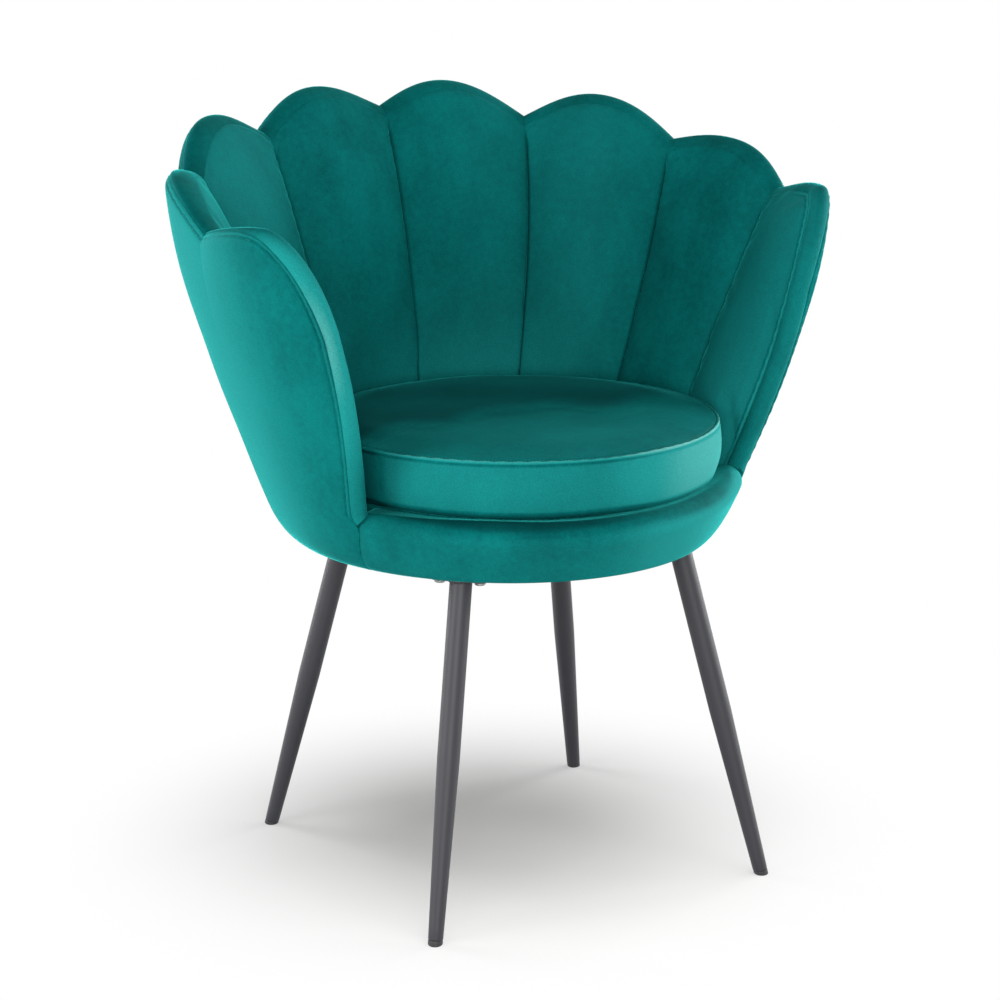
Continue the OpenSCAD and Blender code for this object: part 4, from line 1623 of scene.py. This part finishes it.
@dataclass
class FrontRail:
    """The padded bar before the cushion, rolled over at its top."""

    tub: Tub
    bulge: float = 0.027
    ring_r: float = 0.196
    ring_h: float = 0.033
    board_h: float = 0.015
    lip: float = 0.002
    steps: int = 150
    # Painted light of the rail: a base lift, a painted highlight on its right side and a painted shadow where its
    # roll runs under the cushion.
    plain_nap: float = 0.12
    right_nap: float = 0.25
    tucked_nap: float = 0.45

    def build(self) -> None:
        """Makes the rail. A section's points have a half width, a half depth, a centre and a height.

        Each point is swept round the front from one end to the other, with cos^2 of the share of the
        way as the share of its bulge. The ends lie against the arms' feet, which go back along the
        wall's normal from the front edge at the outer face.
        """
        tub = self.tub
        deck_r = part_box("deck_pad")[1].x + tub.gap
        roll_h = max(tub.deck_h - tub.roll, tub.turn_h + tub.least_step)
        t = np.linspace(0, 1, 16)
        low = tub.turn_h * t**2
        w, _, f, axis = tub.halves(low)
        outside = np.stack([w, f, axis, low, t], -1)
        turn = np.linspace(0, QUARTER, 14)
        w, _, f, _ = tub.halves(np.array(roll_h))
        in_ = tub.roll * (1 - np.cos(turn))
        over = np.stack([w - in_, f - in_, tub.axis_y + 0 * in_, roll_h + tub.roll * np.sin(turn), 1 + 0 * in_], -1)
        crest, edge = over[-1], np.array([deck_r, deck_r, 0.0, tub.deck_h - self.lip, 0.0])
        top = crest + (edge - crest) * np.linspace(0, 1, 10)[1:, None]
        within = np.array(
            [
                [deck_r, deck_r, 0.0, self.ring_h + tub.gap, 0.0],
                [self.ring_r + tub.least_step, self.ring_r + tub.least_step, 0.0, self.ring_h + tub.gap, 0.0],
                [tub.base_r, tub.base_r, 0.0, self.board_h + tub.gap, 0.0],
            ]
        )
        section = np.concatenate([outside, over, top, within])
        z = section[:, 3]
        edge = tub.petal_turn(np.full(len(z), 4.0), z, tub.band_h)
        under = np.maximum(tub.halves(z)[0] - section[:, 0], 0)
        end_y = tub.band_h - tub.front_y(z) - under * tub.normal(edge, z)[:, 1]
        s = np.sin(np.linspace(-QUARTER, QUARTER, self.steps + 1))[:, None]
        depth = section[:, 1] + section[:, 4] * self.bulge * np.cos(QUARTER * s) ** 2
        width, centre = section[:, 0], section[:, 2]
        from_front = math.pi - np.arccos((end_y - centre) / section[:, 1])
        a = math.pi - from_front * s
        points = np.stack([width * np.sin(a), centre + depth * np.cos(a), z + 0 * a], -1)
        middle = points.mean(1, keepdims=True)
        out = unit(points - middle)
        skin = np.where(np.arange(len(z)) < len(z) - len(within), eased(z / 0.012), 0.0)
        ends = (1 - np.abs(s)) * 0.36
        tuck = 0.0024 * np.exp(-ends / 0.004) + 0.0005 * np.cos(TAU * z / 0.012) * np.exp(-ends / 0.012)
        puff = 0.0008 * waves(points, 0.12, 31) - tuck
        rings = tub.placed(points + out * (puff * skin)[..., None])
        # Painted highlight towards the right, and painted shadow on the roll's top under the cushion's edge.
        across = points @ TO_THE_RIGHT / tub.wide[0]
        well = np.hypot(points[..., 0], points[..., 1] - tub.cushion_y) - tub.well_r
        under_cushion_shade = (1 - eased((well - 0.003) / 0.012)) * eased((z - roll_h) / 0.012)
        nap = self.plain_nap + self.right_nap * eased((across - 0.3) / 0.3) - self.tucked_nap * under_cushion_shade
        piece(Shape().rings(rings), "front_rail_velvet", VELVET, Body.CHAIR, ["front_rail"], with_ends(nap))


@dataclass
class SeatCushion:
    """The loose round cushion: a body of revolution, blown up between its two sewn edges."""

    centre: tuple[float, float, float]
    rise: float
    top_r: float = 0.212
    foot_r: float = 0.207
    swell: float = 0.0055
    side_h: float = 0.060
    foot_round: float = 0.008
    foot_rise: float = 0.003
    seam_step: float = 0.002
    crown_power: float = 0.9
    limit_r: float = 0.2154
    around: int = 288
    coarse: tuple[int, int] = (120, 44)
    rib: float = 0.0015
    rib_width: float = 0.0015
    stitch: float = 0.0036
    pull: float = 0.00012
    least: float = -0.0014
    groove_at: float = 0.0034
    thread_at: float = 0.0036
    # Painted light and shade: a painted shadow on the rear of the top, painted light on its front and side, and a
    # painted highlight on the upper seam's lip.
    rear_nap: float = -0.36
    front_nap: float = 0.2
    side_nap: float = 0.26
    lip_nap: float = 0.4
    air: Inflation = Inflation(3.0, 0.003, 0.003)

    def profile(self) -> tuple[np.ndarray, tuple[int, int]]:
        """Half section from the middle of the underside to the middle of the top.

        The side is a straight line plus swell sin(pi t); the crown is ((top r - step) cos t,
        side height + rise sin(t)^power).

        Returns:
            Radii and heights, and the numbers of the lower and the upper seam's points.
        """
        flat = np.linspace(0.02, 1, 16)[:, None] * np.array([self.foot_r - self.foot_round, 0.0])
        turn = np.linspace(0, QUARTER, 7)[1:, None]
        corner = np.concatenate(
            [self.foot_r - self.foot_round * (1 - np.sin(turn)), self.foot_rise * (1 - np.cos(turn))], 1
        )
        t = close_ends(34, 0.7)[1:, None]
        side_r = mix(self.foot_r, self.top_r, t) + self.swell * np.sin(math.pi * t)
        side = np.concatenate([side_r, mix(self.foot_rise, self.side_h, t)], 1)
        c = (1 - close_top(46, 0.85))[::-1][1:, None] * QUARTER
        crown = np.concatenate(
            [(self.top_r - self.seam_step) * np.cos(c), self.side_h + self.rise * np.sin(c) ** self.crown_power], 1
        )[:-1]
        low = len(flat) + len(corner) - 1
        return np.concatenate([flat, corner, side, crown]), (low, low + len(side))

    def turned(self, radii: np.ndarray, heights: np.ndarray, angles: np.ndarray) -> np.ndarray:
        """Points of a turned surface: (r cos a, r sin a, h) about the centre.

        Args:
            radii: radii.
            heights: heights.
            angles: angles.

        Returns:
            The points.
        """
        return turned(radii, heights, angles) + self.centre

    def blown(self, profile: np.ndarray, seams: tuple[int, int], shape: tuple[int, int]) -> np.ndarray:
        """Runs the cloth on a coarser mesh, sewn down along both seams.

        Args:
            profile: the fine profile.
            seams: the seams' numbers in it.
            shape: rows and columns of the fine grid.
        """
        n, m = self.coarse
        picks = np.linspace(0, len(profile) - 1, m).round().astype(int)
        for k in seams:
            picks[np.abs(picks - k).argmin()] = k
        a = np.arange(n)[None, :] * TAU / n
        rings = self.turned(profile[picks, 0][:, None], profile[picks, 1][:, None], a)
        skin = Shape().rings(rings)
        held = np.zeros(n * m + 2, bool)
        for k in seams:
            row = int(np.flatnonzero(picks == k)[0])
            held[row * n : (row + 1) * n] = True
        moves = self.air.swell(skin.points[0], skin.faces, held)[: n * m].reshape(m, n, 3)
        where = np.interp(np.arange(len(profile)), picks, np.arange(m))
        moves = at_rows(moves, where).swapaxes(0, 1)
        return at_rows(moves, np.arange(shape[1]) * n / shape[1], wrap=True)

    def build(self) -> None:
        """Makes the cushion with its ribbed, topstitched upper seam, and the threads of the stitching."""
        profile, seams = self.profile()
        length = np.concatenate([[0], np.cumsum(np.hypot(*np.diff(profile, axis=0).T))])
        a = np.arange(self.around)[None, :] * TAU / self.around
        rings = self.turned(profile[:, :1], profile[:, 1:], a)
        along = np.gradient(profile, axis=0)
        out = unit(np.stack([along[:, 1], -along[:, 0]], -1))
        out3 = np.stack([out[:, :1] * np.cos(a), out[:, :1] * np.sin(a), out[:, 1:] + 0 * a], -1)
        moves = self.blown(profile, seams, (len(profile), self.around)).swapaxes(0, 1)
        lift = np.maximum((moves * out3).sum(-1), 0)
        lift = sum(np.roll(lift, k, 1) for k in range(-9, 10)) / 19
        for k in seams:
            s = (length - length[k])[:, None]
            run = a * self.top_r
            knots = 0.72 + 0.28 * np.cos(TAU * run / self.stitch)
            gather = np.cos(TAU * (run / 0.015 + 0.4 * np.sin(5 * a) + 0.3 * np.sin(11 * a + 1)))
            amount = 1.0 if k == seams[1] else 0.2
            lift = lift + amount * self.rib * bump_at(s, self.rib_width) * knots
            lift = lift - amount * 0.0008 * bump_at(np.abs(s) - self.groove_at, 0.0011) * knots
            lift = lift + self.pull * gather * np.exp(-np.abs(s) / 0.010) * eased(np.abs(s) / 0.004)
        lift = np.maximum(lift + 0.0010 * waves(rings, 0.15, 52), self.least)
        lift = np.where(rings[..., 2] < self.centre[2] + self.foot_rise, np.minimum(lift, 0), lift)
        rings = rings + out3 * lift[..., None]
        rings[..., 2] = np.maximum(rings[..., 2], self.centre[2])
        flat = rings[..., :2] - np.array(self.centre[:2])
        r = np.linalg.norm(flat, axis=-1, keepdims=True)
        rings[..., :2] = np.array(self.centre[:2]) + flat * np.minimum(1, self.limit_r / np.maximum(r, 1e-9))
        # Painted light and shade: the top darker at the rear, where the arm's shadow falls, and lighter in front; the
        # side lighter to the right and darker at its left end beside the arm and along its foot over the rail; a
        # painted highlight on the upper seam's lip towards the viewer and painted shade in its groove.
        plan = (rings - np.array(self.centre)) / self.top_r
        across, near = plan @ TO_THE_RIGHT, plan @ TO_THE_VIEWER
        line = near + 0.59 * across - 0.1 + 0.15 * waves(rings, 0.09, 77)
        top = mix(self.rear_nap, self.front_nap, eased((line + 0.08) / 0.36)) - 0.1 * eased(across - 0.2)
        side = self.side_nap + 0.42 * eased((across - 0.35) / 0.5) - 0.5 * (1 - eased((across + 0.69) / 0.1))
        foot = (length - length[seams[0]])[:, None]
        side = side - 0.6 * (1 - eased((foot - 0.001) / 0.007))
        nap = np.where(np.arange(len(profile))[:, None] > seams[1], top, side)
        s = (length - length[seams[1]])[:, None]
        lip = self.lip_nap * eased((near + 0.3) / 0.5)
        nap = nap + lip * bump_at(s, 0.0013) - 0.3 * bump_at(np.abs(s) - self.groove_at, 0.0012)
        shape, nap = Shape().rings(rings), with_ends(nap)
        piece(shape, "seat_cushion_velvet", SHADED_SEAT_VELVET, Body.CUSHION, ["cushion_cover"], nap)
        row = seams[1] + int(np.abs(length[seams[1] :] - length[seams[1]] - self.thread_at).argmin())
        edge = np.concatenate([rings[row], rings[row][:1]])
        way = np.concatenate([out3[row], out3[row][:1]])
        line = SewnLine(edge, way)
        piece(line.stitches(0.0026, 0.00045, self.stitch), "cushion_topstitching", THREAD, Body.CUSHION)


@dataclass
class Deck:
    """The velvet-covered foam cake under the cushion, with a sewn edge."""

    soft: float = 0.004

    def build(self) -> None:
        """Makes the deck: a rounded disc, slightly hollowed where the cushion presses on it."""
        low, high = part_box("deck_pad")
        r, t = (high.x - low.x) / 2, high.z - low.z
        turn = np.linspace(0, QUARTER, 8)
        lower = np.stack([r - self.soft * (1 - np.sin(turn)), self.soft * (1 - np.cos(turn))], -1)
        upper = np.stack([r - self.soft * (1 - np.cos(turn)), t - self.soft * (1 - np.sin(turn))], -1)
        inner = np.linspace(0.05, 0.94, 12)[:, None]
        bottom = np.concatenate([inner * r, 0 * inner], 1)
        crown = np.concatenate([inner[::-1] * r, t - 0.0015 * np.cos(QUARTER * inner[::-1])], 1)
        profile = np.concatenate([bottom, lower, upper, crown])
        a = np.arange(128)[None, :] * TAU / 128
        rings = turned(profile[:, :1], profile[:, 1:], a)
        rings = rings + np.array([(low.x + high.x) / 2, (low.y + high.y) / 2, low.z])
        rings[..., 2] -= 0.0006 * (1 + np.cos(a * 60)) / 2 * bump_at(profile[:, :1] - r + 0.006, 0.003)
        piece(Shape().rings(rings), "deck_pad_velvet", VELVET, Body.CHAIR, ["deck_pad"])


@dataclass
class Legs:
    """Four tapered tubes welded under square plates, with glides, bolts and weld beads."""

    middle: tuple[float, float]
    plate_top: float
    foot_half: float = 0.1965
    splay: float = math.radians(15)
    top_d: float = 0.023
    foot_d: float = 0.015
    taper: float = 0.185
    wall: float = 0.0015
    glide_h: float = 0.005
    plug: float = 0.014
    plate: float = 0.060
    plate_t: float = 0.003
    corner_r: float = 0.008
    bolt_offset: float = 0.021
    bolt_d: float = 0.006
    bolt_len: float = 0.014
    plate_back: float = 0.017
    edge_break: float = 0.0004
    bead_r: float = 0.0019
    bead_ripple: float = 0.0003
    bead_scales: int = 30
    gap: float = 0.0003

    def __post_init__(self) -> None:
        """Works out the leg's reach, length and plate from its lean."""
        self.reach = self.foot_half * math.sqrt(2)
        self.under = self.plate_top - self.plate_t
        self.length = self.under / math.cos(self.splay)
        self.plate_x = self.reach - self.under * math.tan(self.splay) - self.plate_back

    def radius(self, s: np.ndarray) -> np.ndarray:
        """Returns the tube's radius at a way s up from the foot."""
        return mix(self.foot_d, self.top_d, np.minimum(s / self.taper, 1)) / 2

    def swept(self, s: np.ndarray, r: np.ndarray, n: int = 48) -> np.ndarray:
        """Rings round the leaning axis of a leg on +X.

        Args:
            s: ways up the axis.
            r: radii.
            n: points round a ring.

        Returns:
            The rings.
        """
        a = np.arange(n)[None, :] * TAU / n
        c, d = math.cos(self.splay), math.sin(self.splay)
        across, up = r[:, None] * np.cos(a), s[:, None] + 0 * a
        return np.stack([self.reach + across * c - up * d, r[:, None] * np.sin(a), across * d + up * c], -1)

    def level(self, ring: np.ndarray, z: float) -> np.ndarray:
        """A ring's points slid along the leaning axis to a level.

        Args:
            ring: points.
            z: level.

        Returns:
            The points.
        """
        way = np.array([-math.sin(self.splay), 0.0, math.cos(self.splay)])
        return ring + way * ((z - ring[..., 2:]) / way[2])

    def tube(self) -> np.ndarray:
        """Rings of the tube's wall: down its bore, over the edge at the foot and up its outside.

        Returns:
            The rings.
        """
        s = np.concatenate([np.linspace(self.glide_h, self.taper, 13), np.linspace(self.taper, self.length, 13)[1:]])
        lip = self.glide_h + self.wall * np.array([1.0, 0.0, 0.0, 1.0])
        edge = np.array([self.wall, self.wall * 0.8, self.wall * 0.2, 0.0])
        inner = self.swept(s[::-1][:-1], self.radius(s[::-1][:-1]) - self.wall)
        turn = self.swept(lip, self.radius(lip) - edge)
        outer = self.swept(s[1:], self.radius(s[1:]))
        inner[0], outer[-1] = self.level(inner[0], self.under), self.level(outer[-1], self.under)
        return np.concatenate([inner, turn, outer])

    def plate_rings(self) -> np.ndarray:
        """Rings of the plate: a square with rounded corners and slightly broken edges.

        Returns:
            The rings.
        """
        k = np.arange(64)
        a = (k % 16) / 15 * QUARTER + k // 16 * QUARTER
        to_corner = QUARTER / 2 + k // 16 * QUARTER
        corner = np.sign(np.stack([np.cos(to_corner), np.sin(to_corner)], -1))
        rim = corner * (self.plate / 2 - self.corner_r) + self.corner_r * np.stack([np.cos(a), np.sin(a)], -1)
        breaks, face, t = self.edge_break, 1 - self.edge_break / self.plate * 2, self.plate_t
        rows = [(0.6, 0), (face, 0), (1, breaks), (1, t - breaks), (face, t), (0.6, t)]
        level = np.ones((len(k), 1))
        return np.stack([np.concatenate([rim * g + [self.plate_x, 0], level * (self.under + h)], 1) for g, h in rows])

    def bead(self) -> np.ndarray:
        """Rings of the weld round the tube's top: a round bar whose radius is r + ripple cos(scales a).

        Returns:
            The rings.
        """
        a = np.arange(120) * TAU / 120
        ring = self.swept(np.array([self.length]), np.array([self.top_d / 2 + 0.0006]), 120)[0]
        line = self.level(ring, self.under)
        out = unit(np.stack([np.cos(a), np.sin(a), 0 * a], -1))
        b = np.arange(10)[None, :] * TAU / 10
        r = (self.bead_r + self.bead_ripple * np.cos(a * self.bead_scales))[:, None]
        level, upright = (r * np.cos(b))[..., None], (r * np.sin(b))[..., None]
        return line[:, None] + out[:, None] * level + np.array([0, 0, 1.0]) * upright

    def glide_rings(self) -> np.ndarray:
        """Rings of the glide: a rounded sole, the cap as wide as the tube, and the plug.

        Returns:
            The rings.
        """
        r = self.foot_d / 2
        plug = r - self.wall - self.gap
        sole = self.level(self.swept(np.zeros(1), np.array([r - 0.0012])), 0.0)
        s = np.array([0.0006, 0.0016, self.glide_h - 0.0006, self.glide_h - self.gap, self.glide_h - self.gap])
        cap = self.swept(s, np.array([r - 0.0003, r, r, r - 0.0004, plug]))
        cap[:2] = [self.level(cap[0], 0.0007), self.level(cap[1], 0.0018)]
        top = self.glide_h + self.plug
        rest = self.swept(np.array([top - 0.002, top]), np.array([plug, plug - 0.001]))
        return np.concatenate([sole, cap, rest])

    def bolt(self) -> Shape:
        """A bolt under its plate: a chamfered hexagon head on a flange, with its shank.

        Returns:
            The shape, along +Z with the head's seat at 0.
        """
        k = np.arange(48)
        a = k * TAU / 48
        head_h, across = 0.6 * self.bolt_d, 0.82 * self.bolt_d
        hexagon = across / np.cos((a % (TAU / 6)) - TAU / 12)
        flange = 0.95 * self.bolt_d
        rows = [
            (0.8 * across, -head_h), (0.94 * across, -head_h), (hexagon, -head_h + 0.0005), (hexagon, -0.0014),
            (across * 1.02, -0.0012), (flange, -0.0009), (flange, -0.0001), (self.bolt_d / 2, 0.0),
            (self.bolt_d / 2, self.bolt_len - 0.0008), (self.bolt_d / 2 - 0.0008, self.bolt_len),
        ]
        r = np.stack([q + 0 * a for q, _ in rows])
        h = np.array([z for _, z in rows])[:, None] + 0 * a
        return Shape().rings(turned(r, h, a))

    def build(self) -> None:
        """Makes the legs, glides and bolts at the four corners."""
        bolts = Shape()
        spots = np.array([[x, y, 0.0] for x in (-1, 1) for y in (-1, 1)]) * self.bolt_offset
        spots = spots + np.array([self.plate_x, 0.0, self.under])
        for end, turn in (("front", -1), ("rear", 1)):
            for way, share in (("left", 3), ("right", 1)):
                angle = turn * share * QUARTER / 2
                c, s = math.cos(angle), math.sin(angle)
                axes = np.array([[c, s, 0.0], [-s, c, 0.0], [0.0, 0.0, 1.0]])
                place = np.array([[*self.middle, 0.0]])
                leg = Shape().rings(self.tube()).rings(self.plate_rings()).loop(self.bead())
                glide = Shape().rings(self.glide_rings())
                for made, name, finish in ((leg, "leg", COAT), (glide, "glide", PLASTIC)):
                    node = f"{name}_{end}_{way}"
                    shape = Shape().repeat(made, place, axes[None])
                    piece(shape, node + "_dressed", finish, Body.CHAIR, [node])
                bolts.repeat(self.bolt(), spots @ axes + place, np.repeat(axes[None], 4, 0))
        piece(bolts, "leg_bolts_dressed", ZINC, Body.CHAIR, ["leg_bolts"])


@dataclass
class Underside:
    """The black cloth under the board, stapled near its edge over the turned-in velvet."""

    base_r: float
    staples: int = 56
    ring_in: float = 0.020
    cloth_t: float = 0.0004
    cloth_in: float = 0.004
    staple_in: float = 0.010
    staple_half: float = 0.005
    wire_r: float = 0.00035
    hem_t: float = 0.0003

    def build(self) -> None:
        """Makes the cloth, the velvet's turned-in hem and the staples, all as thin rings about the middle."""
        low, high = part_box("dust_cover")
        middle = np.array([(low.x + high.x) / 2, (low.y + high.y) / 2, 0.0])
        r = (high.x - low.x) / 2
        a = np.arange(180)[None, :] * TAU / 180
        edge = r - self.cloth_in + 0.0009 * np.sin(17 * a) + 0.0006 * np.sin(41 * a + 1)
        share = np.linspace(0.04, 1, 30)[:, None]
        x, y = edge * share * np.cos(a), edge * share * np.sin(a)
        tucks = 0.00012 * np.cos(a * self.staples) * share**6
        under = np.stack([x, y, low.z + 0.0001 + tucks + 0 * x], -1)
        over = np.stack([x, y, low.z + self.cloth_t + 0 * x], -1)[::-1]
        shape = Shape().rings(np.concatenate([under, over]) + middle)
        cloth = piece(shape, "dust_cover_dressed", CLOTH, Body.CHAIR, ["dust_cover"])
        cut = 2 * (r - self.cloth_in)
        math.pi * cut**2 / 4
        hem = [(self.base_r - 0.0005, 0.0), (self.base_r - self.ring_in, 0.0)]
        hem += [(q, -self.hem_t) for q, _ in reversed(hem)]
        pairs = np.array(hem)
        rings = turned(pairs[:, :1], pairs[:, 1:] + high.z, a)
        turned_in = piece(Shape().loop(rings + middle), "velvet_hem", VELVET, Body.CHAIR)
        strip = (TAU * (self.base_r - self.ring_in / 2), self.ring_in)
        legs = np.linspace(-1, 1, 7)
        bent = np.stack([legs * self.staple_half, 0 * legs, -self.wire_r * (1 - np.abs(legs) ** 6)], -1)
        b = np.arange(6) * TAU / 6
        rows = bent[:, None] + self.wire_r * np.stack([0 * b, np.cos(b), np.sin(b)], -1)[None]
        b = np.arange(self.staples) * TAU / self.staples
        out = np.stack([np.cos(b), np.sin(b), 0 * b], -1)
        side = np.stack([-np.sin(b), np.cos(b), 0 * b], -1)
        axes = np.stack([side, out, np.broadcast_to([0.0, 0.0, 1.0], out.shape)], 1)
        spots = out * (r - self.staple_in) + middle + np.array([0, 0, low.z])
        piece(Shape().repeat(Shape().rings(rows), spots, axes), "dust_cover_staples", ZINC, Body.CHAIR)


@dataclass
class Construction:
    """The construction's own nodes, which keep their shape and get their finish."""

    def build(self) -> None:
        """Gives each node the finish of its material slot."""
        slots = {s["node"]: s["material_slot"] for s in frame["record"]["subparts"]}
        for name, obj in frame["nodes"].items():
            obj.data.materials.clear()
            obj.data.materials.append(BY_SLOT[slots[name]].material())
        log.info("%d construction nodes have their finish", len(frame["nodes"]))


@dataclass
class Studio:
    """Floor, light and camera. A lamp's row is its name, its way, its height, its size and its power."""

    target: tuple[float, float, float] = (-0.0132, -0.0387, 0.3933)
    azimuth: float = FACING
    pitch: float = math.radians(13.986)
    distance: float = 2.9281
    lens: float = 99.78
    sensor: float = 36.0
    clip: tuple[float, float] = (0.1, 200.0)
    ambient: float = 0.06
    reach: float = 3.0
    aim: tuple[float, float, float] = (0.0, 0.0, 0.45)
    floor_half: float = 40.0
    lamps: tuple[tuple[str, float, float, float, float], ...] = (
        ("left_light", -55, 12, 1.3, 50),
        ("left_rim_light", -115, 12, 1.3, 80),
        ("front_light", 5, 12, 1.3, 50),
        ("right_light", 95, 12, 1.3, 50),
        ("right_rim_light", 125, 12, 1.3, 75),
        ("high_light", 30, 48, 1.3, 12),
        ("back_light", 180, 35, 1.3, 8),
    )

    def way_to(self, turn: float, height: float) -> Vector:
        """Returns the way to a lamp or camera from the chair: (sin a cos e, -cos a cos e, sin e)."""
        return Vector((math.sin(turn) * math.cos(height), -math.cos(turn) * math.cos(height), math.sin(height)))

    def floor(self) -> bpy.types.Object:
        """Makes the floor, a plane that turns into the plain background away from the chair.

        Returns:
            The floor.
        """
        size = self.floor_half
        mesh = bpy.data.meshes.new("floor")
        mesh.from_pydata([(-size, -size, 0), (size, -size, 0), (size, size, 0), (-size, size, 0)], [], [(0, 1, 2, 3)])
        obj = bpy.data.objects.new("floor", mesh)
        bpy.context.scene.collection.objects.link(obj)
        board = Board("floor")
        away = board.add("ShaderNodeVectorMath", {"operation": "LENGTH"}, {0: board.place()}, "Value")
        grain = board.noise(3.0, 2.0)
        colour = board.blend(grain, (0.35, 0.347, 0.343), (0.37, 0.366, 0.362))
        paper = board.add("ShaderNodeBsdfDiffuse", None, {"Color": colour})
        glow = board.add("ShaderNodeEmission", None, {"Color": (1, 1, 1), "Strength": 1.0})
        share = away.between(0.07, 0.5) * board.seen()
        mesh.materials.append(board.end(board.add("ShaderNodeMixShader", None, {0: share, 1: paper, 2: glow})))
        return obj

    def world(self) -> None:
        """Makes the world: white where the camera and mirrors see it, and a plain pale light otherwise."""
        world = bpy.data.worlds.new("studio")
        bpy.context.scene.world = world
        board = Board("studio", world)
        strength = board.seen() * (1.0 - self.ambient) + self.ambient
        back = board.add("ShaderNodeBackground", None, {"Color": (1, 1, 1), "Strength": strength})
        board.end(back, "ShaderNodeOutputWorld")

    def lamp(self, name: str, way: float, height: float, size: float, power: float) -> bpy.types.Object:
        """Adds a square soft light that faces the chair.

        Args:
            name: its name.
            way: degrees to the right of the camera, about the chair.
            height: degrees above the level.
            size: its side.
            power: its power in watts.

        Returns:
            The light.
        """
        data = bpy.data.lights.new(name, "AREA")
        data.size, data.energy = size, power
        obj = bpy.data.objects.new(name, data)
        back = self.way_to(math.radians(way) + self.azimuth, math.radians(height))
        obj.location = Vector(self.aim) + back * self.reach
        obj.rotation_euler = back.to_track_quat("Z", "Y").to_euler()
        bpy.context.scene.collection.objects.link(obj)
        return obj

    def camera(self) -> None:
        """Makes the camera, back from the point that it looks at."""
        data = bpy.data.cameras.new("camera")
        data.lens, data.sensor_width = self.lens, self.sensor
        data.clip_start, data.clip_end = self.clip
        obj = bpy.data.objects.new("camera", data)
        back = self.way_to(self.azimuth, self.pitch)
        right = Vector((math.cos(self.azimuth), math.sin(self.azimuth), 0.0))
        up = back.cross(right)
        turned = Matrix((right, up, back)).transposed().to_4x4()
        obj.matrix_world = Matrix.Translation(Vector(self.target) + back * self.distance) @ turned
        bpy.context.scene.collection.objects.link(obj)
        bpy.context.scene.camera = obj

    def build(self) -> None:
        """Sets up the floor, the world, the lights and the camera."""
        bpy.context.scene.view_settings.view_transform = "Standard"
        ground = bpy.data.collections.new("ground")
        ground.objects.link(self.floor())
        self.world()
        for row in self.lamps:
            self.lamp(*row)
        self.lamp("floor_light", 18, 74, 3.0, 230).light_linking.receiver_collection = ground
        self.camera()


def main() -> None:
    logging.basicConfig(level=logging.INFO, format="%(name)s: %(message)s")
    studio = Studio()
    studio.build()
    board, deck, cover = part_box("base_board"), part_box("deck_pad"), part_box("cushion_cover")
    middle_y = (board[0].y + board[1].y) / 2
    cushion_r = (cover[1].x - cover[0].x) / 2
    tub = Tub(
        shift=(middle_y, board[0].z),
        deck_h=deck[1].z - board[0].z,
        cushion_y=(cover[0].y + cover[1].y) / 2 - middle_y,
        well_r=cushion_r + MM,
    )
    Construction().build()
    Upholstery(tub).build()
    FrontRail(tub).build()
    crown = cover[1].z - cover[0].z - SeatCushion.side_h
    SeatCushion(centre=(0.0, tub.cushion_y + middle_y, cover[0].z), rise=crown).build()
    Deck().build()
    Legs(middle=(0.0, middle_y), plate_top=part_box("leg_front_left")[1].z).build()
    Underside(base_r=tub.base_r).build()
    log.info("boxes written to the size file")


if __name__ == "__main__":
    main()
